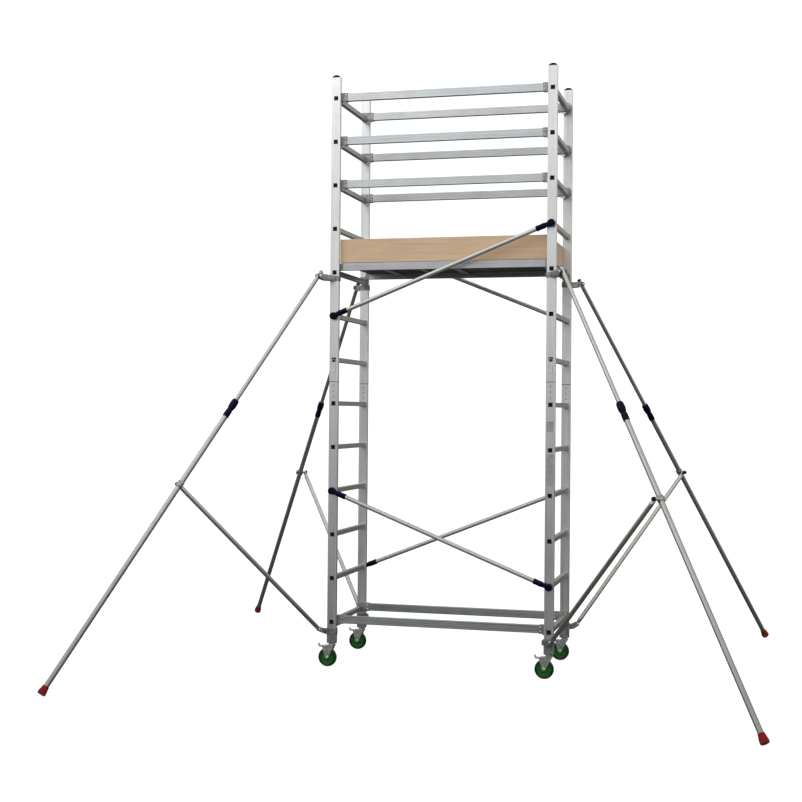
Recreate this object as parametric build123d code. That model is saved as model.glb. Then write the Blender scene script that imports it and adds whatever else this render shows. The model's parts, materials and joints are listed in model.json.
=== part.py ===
from build123d import *
import math
import os

# A free-standing aluminium scaffold tower: two stacked pairs of ladder frames on castors,
# hooked horizontal bars, clip-on diagonal braces, one hooked plywood platform with a
# trapdoor and toe boards, and a telescopic stabiliser leg with a strut at each corner.
# Millimetres. X runs along the bay, Y across it, Z up. The origin is on the floor under
# the middle of the bay. Corner names: front is -Y, left is -X.

# Driving dimensions: ladder frames
POST_X = 700.0            # post centre line from the middle, along the bay
POST_Y = 337.5            # post centre line from the middle, across the bay
RAIL_X = 60.0
RAIL_Y = 25.0
RAIL_WALL = 2.0
RAIL_CORNER = 3.0
RAIL_BOTTOM = 205.0
RAIL_TOP = 3782.0
SPLICE_Z = 1827.0         # joint between lower and upper frames
FLUTE_OFFSET = 13.0       # decorative flutes on the rail faces, from the middle
FLUTE_WIDTH = 3.0
FLUTE_DEPTH = 0.6

# Rungs
RUNG_PITCH = 280.0
LOWEST_RUNG = 287.0
RUNG_COUNT = 13
RUNG = 30.0
RUNG_WALL = 1.5
RUNG_CORNER = 1.4
TENON = 29.4              # rung section where it passes through a rail
SHOULDER_PLAY = 0.2
PLUG_DEPTH = 12.0
PLUG_PLAY = 0.1
CAP_DOME = 15.0
CAP_SHANK = 25.0
INSERT_CORNER = 1.0       # corner radius of what slides into a rail

# Splice, rivets and locking pins
SPIGOT_LOW = 1712.0
SPIGOT_HIGH = 1945.0
SPIGOT_WALL = 3.0
SPIGOT_PLAY = 0.2
RIVET_DROPS = (24.0, 62.0, 98.0)   # below the splice
RIVET_R = 2.5
RIVET_HEAD_R = 4.5
RIVET_HEAD = 1.8
PIN_Z = 1895.0
PIN_R = 4.5
PIN_PLAY = 0.3
PIN_HEAD_R = 7.0
PIN_HEAD = 6.0
CLIP_WIRE_R = 1.5
CLIP_HALF = 10.0
CLIP_RISE = 66.0

# Horizontal bars hooked over the rungs
BAR_Y = 30.0
BAR_Z = 50.0
BAR_WALL = 2.0
BAR_CORNER = 2.0
BAR_LINE_Y = 300.0        # bar centre line from the middle, across the bay
BAR_RISE = 12.0           # bar centre above the rung centre
BAR_END = 52.0            # bar end from the rung centre
RIB_LIFTS = (-13.0, 0.0, 13.0)
RIB_GROOVE = 5.0
RIB_DEPTH = 0.9
CLAW_START = 66.0         # casting start from the rung centre
CLAW_WIDTH = 36.0
CLAW_LOW = -16.0
CLAW_HIGH = 40.0
CLAW_NOSE = 23.0
CLAW_LIP = -7.0
CLAW_SLOPE = (9.0, 12.0)  # bevel on the nose, along and down
HOOK_PLAY = 0.5
LATCH_WIDTH = 14.0
LATCH_GAP = 0.3
LATCH_TIP = 9.0
LATCH_ROOT = -48.0
LATCH_THIN = 4.5
LATCH_DEEP = 14.0
LATCH_LEVER = (-30.0, -20.0)
GUARD_RUNGS = (10, 11, 12)

# Diagonal braces outside the posts
BRACE_R = 14.0
BRACE_WALL = 1.6
BRACE_STANDOFF = 22.0     # brace centre line outside the post face
HEAD_R = 23.0
HEAD_THICK = 36.0
HEAD_ROUND = 6.0
WAIST_R = 14.0
BARREL_R = 18.0
BARREL_START = 44.0
BARREL_END = 100.0
SOCKET_START = 52.0
SOCKET_PLAY = 0.15

# Platform
DECK_RUNG = 8             # the rung that carries the platform, counted from the lowest
BEAM_INNER = 291.0
BEAM_OUTER = 315.0
BEAM_HIGH = 48.0
BEAM_END = 654.0
BEAM_WALL = 2.0
BEAM_CORNER = 1.5
BEAM_GROOVE = 7.0
BEAM_GROOVE_DEPTH = 2.2
LEDGE_INNER = 276.0
LEDGE_THICK = 3.0
BOARD_THICK = 12.0
BOARD_LIFT = 34.0         # board underside above the rung top
BOARD_HALF_Y = 290.5
BOARD_HALF_X = 650.0
MEMBER_WIDE = 40.0
MEMBER_DEEP = 12.0
MEMBER_PLACES = (-430.0, -190.0, 37.0, 622.0)
PLATFORM_HOOK_START = 46.0
PLATFORM_HOOK_LIP = -9.0
PLATFORM_HOOK_TOP = 46.0  # top of the casting above the rung
PLATFORM_HOOK_NOSE = 18.0 # top of the part over the rung
PLATFORM_HOOK_STEP = -22.0

# Trapdoor
HATCH_LOW_X = 60.0
HATCH_HIGH_X = 600.0
HATCH_HALF_Y = 215.0
HATCH_GAP = 2.0
FINGER_HOLE_R = 15.0
HINGE_R = 3.0
HINGE_LIFT = 4.0          # hinge axis above the board top
HINGE_PLACES = (-140.0, 140.0)
HINGE_LENGTH = 70.0
HINGE_LEAF = 32.0
HINGE_THICK = 1.6
HINGE_NOTCH = 3.6         # cut into the board behind each knuckle
HINGE_NOTCH_PLAY = 1.0

# Toe boards
TOE_HIGH = 150.0
TOE_THICK = 15.0
TOE_LIFT = 2.0            # above the beams
TOE_OUTER_Y = 317.0
TOE_OUTER_X = 672.0

# Castors
WHEEL_R = 60.0
WHEEL_WIDTH = 30.0
TYRE_INNER_R = 42.0
HUB_RECESS = 4.0
HUB_BOSS_R = 17.0
HUB_RIM = 5.0
WHEEL_ROUND = 4.0
AXLE_R = 6.0
AXLE_HEAD = 7.0
AXLE_HEAD_R = 9.6
RUNNING = 0.3             # clearance of free-turning parts
TRAIL = 28.0
FORK_TOP = 136.0
FORK_PLATE = 3.0
FORK_GAP = 18.5           # from the wheel's mid-plane to a fork plate
FORK_EYE_R = 10.5
FORK_FRONT = 24.0         # top plate, ahead of the king pin
FORK_CHEEK_FRONT = 14.0
FORK_CHEEK_REAR = 58.0
FORK_CHEEK_TOP = 13.0     # straight part of a cheek below the top plate
PEDAL_PIVOT_X = -46.0
PEDAL_PIVOT_Z = 126.0
PEDAL_PIN_R = 3.0
PEDAL_SLEEVE_R = 6.0
PEDAL_HALF_Y = 14.0
PEDAL_REACH = 32.0        # shoe, back from its pin
PEDAL_TOE = (8.0, 15.0)   # raised toe, back and up from the shoe
PEDAL_THICK = 5.0
PEDAL_PAD = 7.0           # brake pad below the pin's centre
STEM_X = 64.0
STEM_Y = 29.0
STEM_LOW = 150.0
STEM_CORNER = 5.0
STEM_CHAMFER = 3.0
STEM_PLUG_HIGH = 63.0
BOSS_R = 20.0
BOSS_LOW = 136.6
KING_R = 6.0
KING_HEAD_R = 11.0
KING_HEAD_LOW = 126.0

# Stabilisers. Distances are from the post centre line, along and beside the leg's plane.
LEG_HEADING = 47.0        # degrees from X, outwards
LEG_PIVOT_R = 120.0
LEG_PIVOT_Z = 2500.0
LEG_TILT = math.radians(35.461)
INNER_R = 13.0
OUTER_R = 16.0
TUBE_WALL = 2.0
INNER_HEAD = 30.0         # inner tube above its pivot
INNER_END = 1380.0
OUTER_START = 1058.0
FOOT_TOP_R = 19.0
FOOT_R = 25.5
FOOT_ROUND = 9.0
FOOT_HIGH = 56.0
FOOT_BASE = 16.0          # rubber below the tube's end
LOCK_START = 982.0
LOCK_GRIP_END = 1048.0
LOCK_COLLAR_START = 1064.0
LOCK_END = 1108.0
LOCK_GRIP_R = 23.5
LOCK_COLLAR_R = 20.0
LOCK_WAIST_R = 17.8
LOCK_ROUND = 4.0
CLAMP_AT = {"left_front": 1610.0, "right_front": 1630.0, "left_back": 1630.0, "right_back": 1560.0}
CLAMP_HALF = 19.0
CLAMP_R = 20.5
CLAMP_ROUND = 1.5
STRUT_PIVOT_R = 75.0
STRUT_PIVOT_Z = 240.0
STRUT_SIDE = 36.0         # strut plane beside the leg plane
STRUT_R = 14.0
STRUT_WALL = 1.8
STRUT_TAB = 8.0
STRUT_TAB_R = 13.0
STRUT_TAB_LENGTH = 42.0
KNOB_R = 13.5
KNOB_THICK = 16.0
BOLT_R = 5.0
BOLT_HEAD_R = 8.0
BOLT_HEAD = 5.0
COLLAR_WALL = 4.0
TOP_COLLAR = (2472.0, 2506.0)
LOW_COLLAR = (206.0, 247.0)
EAR = 5.0
EAR_PLAY = 1.5
TOP_EAR_R = 15.0
LOW_EAR_R = 14.0

# Worked out from the sizes above
RUNGS = [LOWEST_RUNG + RUNG_PITCH * step for step in range(RUNG_COUNT)]
DECK_RUNG_TOP = RUNGS[DECK_RUNG] + RUNG / 2
BOARD_BOTTOM = DECK_RUNG_TOP + BOARD_LIFT
BOARD_TOP = BOARD_BOTTOM + BOARD_THICK
FACE_Y = POST_Y + RAIL_Y / 2
CORNERS = {"left_front": (-1, -1), "right_front": (1, -1), "left_back": (-1, 1), "right_back": (1, 1)}
# The leg ends where the low edge of its rounded foot touches the floor
FOOT_CENTRE_Z = FOOT_ROUND + (FOOT_R - FOOT_ROUND) * math.sin(LEG_TILT)
LEG_LENGTH = (LEG_PIVOT_Z - FOOT_CENTRE_Z) / math.cos(LEG_TILT) + FOOT_ROUND


def block(low, high):
    """A plain box between two corners."""
    size = [b - a for a, b in zip(low, high)]
    middle = [(a + b) / 2 for a, b in zip(low, high)]
    return Pos(*middle) * Box(*size)


def rod(start, end, radius):
    """A round bar from one point to another."""
    axis = Vector(*end) - Vector(*start)
    bar = Cylinder(radius, axis.length, align=(Align.CENTER, Align.CENTER, Align.MIN))
    return Plane(origin=start, z_dir=axis.normalized()) * bar


def tube(start, end, radius, wall):
    """A round tube from one point to another."""
    return rod(start, end, radius) - rod(start, end, radius - wall)


def upright_profile(points, y_low, y_high):
    """A solid from an outline in X and Z, between two Y values."""
    outline = make_face(Polyline(*[(x, 0, z) for x, z in points], close=True))
    return Pos(0, y_high, 0) * extrude(outline, y_high - y_low, dir=(0, -1, 0))


def hull_plate(circle, rectangle, y_low, y_high):
    """A tapering plate in X and Z: an eye (x, z, radius) joined to a rectangle (x0, x1, z0, z1)."""
    x, z, radius = circle
    x0, x1, z0, z1 = rectangle
    eye = Pos(x, z) * Circle(radius)
    root = Pos((x0 + x1) / 2, (z0 + z1) / 2) * Rectangle(x1 - x0, z1 - z0)
    outline = make_hull(eye.edges() + root.edges())
    plate = extrude(outline, y_high - y_low)
    return Pos(0, y_high, 0) * Rot(90, 0, 0) * plate


def save(node, shapes):
    """Write one node, with each of its pieces as a separate solid."""
    solids = [solid for shape in shapes for solid in shape.solids()]
    solid_set = solids[0] if len(solids) == 1 else Compound(children=solids)
    export_step(solid_set, "parts/" + node + ".step")


def at_posts(shape):
    """The same solid at the four posts, in the order of CORNERS."""
    return [Pos(sx * POST_X, sy * POST_Y, 0) * shape for sx, sy in CORNERS.values()]


# Ladder frames

def rail_section():
    """Hollow rounded rectangle with two shallow flutes on each wide face."""
    section = RectangleRounded(RAIL_X, RAIL_Y, RAIL_CORNER)
    section -= RectangleRounded(RAIL_X - 2 * RAIL_WALL, RAIL_Y - 2 * RAIL_WALL, RAIL_CORNER - RAIL_WALL)
    for side in (-1, 1):
        for face in (-1, 1):
            groove = Rectangle(FLUTE_WIDTH, 2 * FLUTE_DEPTH)
            section -= Pos(side * FLUTE_OFFSET, face * RAIL_Y / 2) * groove
    return section


def rail_insert(play):
    """The outline of a piece that fills a rail's bore, less some play."""
    inside = 2 * RAIL_WALL + play
    return RectangleRounded(RAIL_X - inside, RAIL_Y - inside, INSERT_CORNER)


def rail(low, high):
    """One rail about its own centre line, holed for its rungs, rivets and locking pin."""
    body = Pos(0, 0, low) * extrude(rail_section(), high - low)
    for height in RUNGS:
        if low < height < high:
            body -= Pos(0, 0, height) * Box(TENON, 2 * RAIL_Y, TENON)
    for height in [SPLICE_Z - drop for drop in RIVET_DROPS]:
        if low < height < high:
            body -= rod((0, -RAIL_Y, height), (0, RAIL_Y, height), RIVET_R)
    if low < PIN_Z < high:
        body -= rod((0, -RAIL_Y, PIN_Z), (0, RAIL_Y, PIN_Z), PIN_R + PIN_PLAY)
    return body


def square_tube(width, half_length):
    """A square tube along Y about its middle, with the bore of the rungs."""
    bore = RUNG - 2 * RUNG_WALL
    section = RectangleRounded(width, width, RUNG_CORNER) - Rectangle(bore, bore)
    return Pos(0, half_length, 0) * Rot(90, 0, 0) * extrude(section, 2 * half_length)


def rung(side, height):
    """A square tube with a shouldered end through each rail of a frame."""
    between_rails = POST_Y - RAIL_Y / 2 - SHOULDER_PLAY
    body = square_tube(TENON, FACE_Y) + square_tube(RUNG, between_rails)
    return Pos(side * POST_X, 0, height) * body


def rung_plug(side, face, height):
    """The square plastic plug in one end of a rung."""
    width = RUNG - 2 * RUNG_WALL - PLUG_PLAY
    place = face * (FACE_Y - PLUG_DEPTH / 2)
    return Pos(side * POST_X, place, height) * Box(width, PLUG_DEPTH, width)


def rail_cap():
    """A domed plastic cap whose shank sits in the top of a rail."""
    head = RectangleRounded(RAIL_X, RAIL_Y, RAIL_CORNER)
    dome = Pos(0, 0, RAIL_TOP) * extrude(head, CAP_DOME)
    radius = (RAIL_X ** 2 / 4 + CAP_DOME ** 2) / (2 * CAP_DOME)
    crown_z = RAIL_TOP + CAP_DOME - radius
    dome &= rod((0, -RAIL_Y, crown_z), (0, RAIL_Y, crown_z), radius)
    return dome + Pos(0, 0, RAIL_TOP - CAP_SHANK) * extrude(rail_insert(PLUG_PLAY), CAP_SHANK)


def spigot():
    """The hollow connector inside the rails at the splice."""
    lost = 2 * (RAIL_WALL + SPIGOT_WALL) + SPIGOT_PLAY
    section = rail_insert(SPIGOT_PLAY) - Rectangle(RAIL_X - lost, RAIL_Y - lost)
    body = Pos(0, 0, SPIGOT_LOW) * extrude(section, SPIGOT_HIGH - SPIGOT_LOW)
    for drop in RIVET_DROPS:
        body -= rod((0, -RAIL_Y, SPLICE_Z - drop), (0, RAIL_Y, SPLICE_Z - drop), RIVET_R)
    return body - rod((0, -RAIL_Y, PIN_Z), (0, RAIL_Y, PIN_Z), PIN_R + PIN_PLAY)


def splice_rivet(height):
    """A through rivet with two low heads."""
    half = RAIL_Y / 2
    body = rod((0, -half, height), (0, half, height), RIVET_R - PLUG_PLAY)
    for face in (-1, 1):
        body += rod((0, face * half, height), (0, face * (half + RIVET_HEAD), height), RIVET_HEAD_R)
    return body


def locking_pin():
    """A cross pin with a head outside the post and a wire clip that lies up the face."""
    half = RAIL_Y / 2
    wire_y = -half - PIN_HEAD / 2
    body = rod((0, -half - PIN_HEAD, PIN_Z), (0, half + PIN_HEAD / 2, PIN_Z), PIN_R)
    body += rod((0, -half - PIN_HEAD, PIN_Z), (0, -half, PIN_Z), PIN_HEAD_R)
    body += rod((-CLIP_HALF, wire_y, PIN_Z), (CLIP_HALF, wire_y, PIN_Z), CLIP_WIRE_R)
    for side in (-1, 1):
        leg_x = side * CLIP_HALF
        body += rod((leg_x, wire_y, PIN_Z), (leg_x, wire_y, PIN_Z + CLIP_RISE), CLIP_WIRE_R)
        body += Pos(leg_x, wire_y, PIN_Z) * Sphere(CLIP_WIRE_R)
    bend = Pos(0, wire_y, PIN_Z + CLIP_RISE) * Rot(90, 0, 0) * Torus(CLIP_HALF, CLIP_WIRE_R)
    above = Pos(0, 0, PIN_Z + CLIP_RISE) * block((-RAIL_X, -RAIL_Y, 0), (RAIL_X, RAIL_Y, RAIL_X))
    return body + (bend & above)


def make_frames():
    rails = []
    for low, high in ((RAIL_BOTTOM, SPLICE_Z), (SPLICE_Z, RAIL_TOP)):
        rails += at_posts(rail(low, high))
    save("frame_rails", rails)
    save("frame_rungs", [rung(side, height) for side in (-1, 1) for height in RUNGS])
    plugs = [rung_plug(side, face, height) for side in (-1, 1) for face in (-1, 1) for height in RUNGS]
    save("rung_plugs", plugs)
    save("rail_caps", at_posts(rail_cap()))
    save("rail_spigots", at_posts(spigot()))
    save("splice_rivets", [copy for drop in RIVET_DROPS for copy in at_posts(splice_rivet(SPLICE_Z - drop))])
    pins = []
    for sx, sy in CORNERS.values():
        turn = 0 if sy < 0 else 180
        pins.append(Pos(sx * POST_X, sy * POST_Y, 0) * Rot(0, 0, turn) * locking_pin())
    save("frame_locking_pins", pins)


# Horizontal bars

def bar_section(wall):
    """Ribbed bar section, or its plain outline when no wall is asked for."""
    section = RectangleRounded(BAR_Y, BAR_Z, BAR_CORNER)
    if wall:
        section -= Rectangle(BAR_Y - 2 * wall, BAR_Z - 2 * wall)
        for lift in RIB_LIFTS:
            for face in (-1, 1):
                section -= Pos(face * BAR_Y / 2, lift) * Rectangle(2 * RIB_DEPTH, RIB_GROOVE)
    return section


def bar(side, height):
    """One ribbed bar along the bay."""
    half = POST_X - BAR_END
    body = extrude(Plane.YZ * bar_section(BAR_WALL), 2 * half)
    return Pos(-half, side * BAR_LINE_Y, height + BAR_RISE) * body


def claw():
    """The cast end hook of a bar, about the rung centre, for the +X end."""
    seat = RUNG / 2
    outline = [(-CLAW_START, CLAW_LOW), (-seat - HOOK_PLAY, CLAW_LOW), (-seat - HOOK_PLAY, seat),
               (seat + HOOK_PLAY, seat), (seat + HOOK_PLAY, CLAW_LIP), (CLAW_NOSE, CLAW_LIP),
               (CLAW_NOSE, CLAW_HIGH - CLAW_SLOPE[1]), (CLAW_NOSE - CLAW_SLOPE[0], CLAW_HIGH),
               (-CLAW_START, CLAW_HIGH)]
    body = upright_profile(outline, -CLAW_WIDTH / 2, CLAW_WIDTH / 2)
    pocket = block((-CLAW_START - 1, -BAR_Y / 2 - PLUG_PLAY, BAR_RISE - BAR_Z / 2 - PLUG_PLAY),
                   (-BAR_END, BAR_Y / 2 + PLUG_PLAY, BAR_RISE + BAR_Z / 2 + PLUG_PLAY))
    return body - pocket


def latch():
    """The small spring latch under a claw, about the rung centre, for the +X end."""
    top = CLAW_LOW - LATCH_GAP
    thin = top - LATCH_THIN
    start, end = LATCH_LEVER
    outline = [(LATCH_ROOT, top), (LATCH_TIP, top), (LATCH_TIP, thin), (end / 2, thin),
               (end, top - LATCH_DEEP), (start, top - LATCH_DEEP), (LATCH_ROOT, thin)]
    return upright_profile(outline, -LATCH_WIDTH / 2, LATCH_WIDTH / 2)


def at_bar_ends(shape, rungs):
    """The same end piece at both ends of the front and back bars on the given rungs."""
    copies = []
    for number in rungs:
        for side in (-1, 1):
            for end, turn in ((1, 0), (-1, 180)):
                copies.append(Pos(end * POST_X, side * BAR_LINE_Y, RUNGS[number]) * Rot(0, 0, turn) * shape)
    return copies


def make_bars():
    save("guard_rails", [bar(side, RUNGS[number]) for number in GUARD_RUNGS for side in (-1, 1)])
    save("base_bars", [bar(side, RUNGS[0]) for side in (-1, 1)])
    save("bar_claws", at_bar_ends(claw(), (0,) + GUARD_RUNGS))
    save("bar_latches", at_bar_ends(latch(), (0,) + GUARD_RUNGS))


# Diagonal braces: rungs at the left and right end of each, counted from the lowest
BRACES = ((-1, 7, 9), (-1, 3, 1), (1, 9, 7), (1, 1, 3))


def brace_ends(side, left, right):
    """The two end points of a brace centre line."""
    line_y = side * (FACE_Y + BRACE_STANDOFF)
    return Vector(-POST_X, line_y, RUNGS[left]), Vector(POST_X, line_y, RUNGS[right])


def brace_claw(side, eye, direction):
    """The plastic end of a brace: a round head on the rung end, a waist and a socket barrel."""
    face = side * FACE_Y
    body = rod((eye.X, face, eye.Z), (eye.X, face + side * HEAD_THICK, eye.Z), HEAD_R)
    body = fillet(body.edges().filter_by(GeomType.CIRCLE).sort_by(Axis.Y)[0 if side < 0 else -1], HEAD_ROUND)
    body += rod(tuple(eye), tuple(eye + direction * BARREL_START), WAIST_R)
    body += rod(tuple(eye + direction * BARREL_START), tuple(eye + direction * BARREL_END), BARREL_R)
    socket = rod(tuple(eye + direction * SOCKET_START), tuple(eye + direction * (BARREL_END + 1)),
                 BRACE_R + SOCKET_PLAY)
    return body - socket


def make_braces():
    tubes = []
    claws = []
    for side, left, right in BRACES:
        start, end = brace_ends(side, left, right)
        along = (end - start).normalized()
        inset = along * (SOCKET_START + 1)
        tubes.append(tube(tuple(start + inset), tuple(end - inset), BRACE_R, BRACE_WALL))
        claws.append(brace_claw(side, start, along))
        claws.append(brace_claw(side, end, along * -1))
    save("diagonal_braces", tubes)
    save("brace_claws", claws)


# Platform

def side_beam(side):
    """A hollow edge beam with a groove outside and a ledge for the board inside."""
    middle = (BEAM_INNER + BEAM_OUTER) / 2
    width = BEAM_OUTER - BEAM_INNER
    section = RectangleRounded(width, BEAM_HIGH, BEAM_CORNER)
    section -= Rectangle(width - 2 * BEAM_WALL - BEAM_GROOVE_DEPTH, BEAM_HIGH - 2 * BEAM_WALL)
    section -= Pos(width / 2, 0) * Rectangle(BEAM_GROOVE_DEPTH, BEAM_GROOVE)
    ledge_z = BOARD_LIFT - LEDGE_THICK / 2 - BEAM_HIGH / 2
    ledge_wide = BEAM_INNER - LEDGE_INNER + 1
    section += Pos(-width / 2 - ledge_wide / 2 + 1, ledge_z) * Rectangle(ledge_wide, LEDGE_THICK)
    body = extrude(Plane.YZ * section, 2 * BEAM_END)
    turn = 0 if side > 0 else 180
    body = Pos(-BEAM_END, middle, DECK_RUNG_TOP + BEAM_HIGH / 2) * body
    return Rot(0, 0, turn) * body


def cross_member(place):
    """A shallow stiffener under the board, from ledge to ledge."""
    top = BOARD_BOTTOM
    return block((place - MEMBER_WIDE / 2, -LEDGE_INNER, top - MEMBER_DEEP),
                 (place + MEMBER_WIDE / 2, LEDGE_INNER, top))


def deck_board():
    """The plywood sheet with the trapdoor opening, notched behind the hinge knuckles."""
    low, high = BOARD_BOTTOM - 1, BOARD_TOP + 1
    sheet = block((-BOARD_HALF_X, -BOARD_HALF_Y, BOARD_BOTTOM), (BOARD_HALF_X, BOARD_HALF_Y, BOARD_TOP))
    sheet -= block((HATCH_LOW_X, -HATCH_HALF_Y, low), (HATCH_HIGH_X, HATCH_HALF_Y, high))
    half = HINGE_LENGTH / 2 + HINGE_NOTCH_PLAY
    for place in HINGE_PLACES:
        sheet -= block((HATCH_LOW_X - HINGE_NOTCH, place - half, low), (HATCH_LOW_X + 1, place + half, high))
    return sheet


def platform_hook():
    """A cast corner hook over the rung, about the rung centre, for the +X end."""
    seat = RUNG / 2
    top = seat + PLATFORM_HOOK_TOP
    nose = seat + PLATFORM_HOOK_NOSE
    bevel = CLAW_NOSE - seat
    outline = [(-PLATFORM_HOOK_START, seat), (seat + HOOK_PLAY, seat), (seat + HOOK_PLAY, PLATFORM_HOOK_LIP),
               (CLAW_NOSE, PLATFORM_HOOK_LIP), (CLAW_NOSE, nose - bevel), (seat, nose),
               (PLATFORM_HOOK_STEP + bevel, nose), (PLATFORM_HOOK_STEP, top), (-PLATFORM_HOOK_START, top)]
    return upright_profile(outline, BEAM_INNER, BEAM_OUTER)


def make_platform():
    save("platform_side_beams", [side_beam(side) for side in (-1, 1)])
    save("platform_cross_members", [cross_member(place) for place in MEMBER_PLACES])
    save("platform_board", [deck_board()])
    hooks = []
    for end in (-1, 1):
        for side in (-1, 1):
            hook = platform_hook() if end * side > 0 else mirror(platform_hook(), Plane.XZ)
            turn = 0 if end > 0 else 180
            hooks.append(Pos(end * POST_X, 0, RUNGS[DECK_RUNG]) * Rot(0, 0, turn) * hook)
    save("platform_hooks", hooks)
    low = DECK_RUNG_TOP + BEAM_HIGH + TOE_LIFT
    boards = []
    for side in (-1, 1):
        y_low, y_high = sorted((side * TOE_OUTER_Y, side * (TOE_OUTER_Y - TOE_THICK)))
        boards.append(block((-TOE_OUTER_X, y_low, low), (TOE_OUTER_X, y_high, low + TOE_HIGH)))
        x_low, x_high = sorted((side * TOE_OUTER_X, side * (TOE_OUTER_X - TOE_THICK)))
        reach = TOE_OUTER_Y - TOE_THICK
        boards.append(block((x_low, -reach, low), (x_high, reach, low + TOE_HIGH)))
    save("toe_boards", boards)


def make_trapdoor():
    """The hinged door and the leaves that turn with it."""
    door = block((HATCH_LOW_X + HATCH_GAP, -HATCH_HALF_Y + HATCH_GAP, BOARD_BOTTOM),
                 (HATCH_HIGH_X - HATCH_GAP, HATCH_HALF_Y - HATCH_GAP, BOARD_TOP))
    finger_x = HATCH_HIGH_X - 4 * FINGER_HOLE_R
    door -= rod((finger_x, 0, BOARD_BOTTOM - 1), (finger_x, 0, BOARD_TOP + 1), FINGER_HOLE_R)
    save("trapdoor_panel", [door])
    leaves = []
    axis_z = BOARD_TOP + HINGE_LIFT
    edge_x = HATCH_LOW_X + HATCH_GAP
    for place in HINGE_PLACES:
        low_y = place - HINGE_LENGTH / 2
        high_y = place + HINGE_LENGTH / 2
        knuckle = rod((HATCH_LOW_X, low_y, axis_z), (HATCH_LOW_X, high_y, axis_z), HINGE_R)
        leaf = block((edge_x, low_y, BOARD_TOP), (HATCH_LOW_X + HINGE_LEAF, high_y, BOARD_TOP + HINGE_THICK))
        neck = block((HATCH_LOW_X, low_y, axis_z - HINGE_R), (edge_x + HINGE_THICK, high_y, axis_z))
        leaves.append(knuckle + leaf + neck)
    save("trapdoor_hinges", leaves)


# Castors, built about the post centre line

def castor_stem():
    """The casting under a rail: a plug up the rail, a block, a boss and the king pin."""
    body = Pos(0, 0, RAIL_BOTTOM) * extrude(rail_insert(SPIGOT_PLAY), STEM_PLUG_HIGH)
    section = RectangleRounded(STEM_X, STEM_Y, STEM_CORNER)
    shell = Pos(0, 0, STEM_LOW) * extrude(section, RAIL_BOTTOM - STEM_LOW)
    body += chamfer(shell.faces().sort_by(Axis.Z)[0].edges(), STEM_CHAMFER)
    body += rod((0, 0, BOSS_LOW), (0, 0, STEM_LOW), BOSS_R)
    body += rod((0, 0, KING_HEAD_LOW), (0, 0, BOSS_LOW), KING_R)
    head_top = FORK_TOP - FORK_PLATE - 2 * RUNNING
    return body + rod((0, 0, KING_HEAD_LOW), (0, 0, head_top), KING_HEAD_R)


def castor_fork():
    """Pressed fork: top plate and two tapering cheeks that hold the axle and the pedal pin."""
    outer = FORK_GAP + FORK_PLATE
    body = block((PEDAL_PIVOT_X + 12, -outer, FORK_TOP - FORK_PLATE), (FORK_FRONT, outer, FORK_TOP))
    body -= rod((0, 0, FORK_TOP - 2 * FORK_PLATE), (0, 0, FORK_TOP + 1), KING_R + RUNNING)
    for low_y, high_y in ((-outer, -FORK_GAP), (FORK_GAP, outer)):
        root = (-FORK_CHEEK_REAR, FORK_CHEEK_FRONT, FORK_TOP - FORK_CHEEK_TOP, FORK_TOP)
        cheek = hull_plate((-TRAIL, WHEEL_R, FORK_EYE_R), root, low_y, high_y)
        cheek -= rod((-TRAIL, low_y - 1, WHEEL_R), (-TRAIL, high_y + 1, WHEEL_R), AXLE_R)
        body += cheek
    body += rod((PEDAL_PIVOT_X, -outer, PEDAL_PIVOT_Z), (PEDAL_PIVOT_X, outer, PEDAL_PIVOT_Z), PEDAL_PIN_R)
    return body


def axle_bolt():
    """The wheel bolt with its head and nut outside the fork."""
    outer = FORK_GAP + FORK_PLATE
    reach = outer + AXLE_HEAD
    body = rod((-TRAIL, -reach, WHEEL_R), (-TRAIL, reach, WHEEL_R), AXLE_R)
    for side in (-1, 1):
        hexagon = extrude(RegularPolygon(AXLE_HEAD_R, 6), AXLE_HEAD)
        turn = Rot(90, 0, 0) if side < 0 else Rot(-90, 0, 0)
        body += Pos(-TRAIL, side * outer, WHEEL_R) * turn * hexagon
    return body


def castor_wheel():
    """Hub with recessed faces, and the tyre round it."""
    half = WHEEL_WIDTH / 2
    centre = Pos(-TRAIL, 0, WHEEL_R) * Rot(90, 0, 0)
    tyre = Cylinder(WHEEL_R, WHEEL_WIDTH)
    tyre = fillet(tyre.edges().filter_by(GeomType.CIRCLE), WHEEL_ROUND)
    tyre -= Cylinder(TYRE_INNER_R, WHEEL_WIDTH + 2)
    hub = Cylinder(TYRE_INNER_R, WHEEL_WIDTH)
    for face in (-1, 1):
        dish = Cylinder(TYRE_INNER_R - HUB_RIM, HUB_RECESS) - Cylinder(HUB_BOSS_R, HUB_RECESS)
        hub -= Pos(0, 0, face * (half - HUB_RECESS / 2)) * dish
    hub -= Cylinder(AXLE_R + RUNNING, WHEEL_WIDTH + 2)
    return [centre * tyre, centre * hub]


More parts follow.
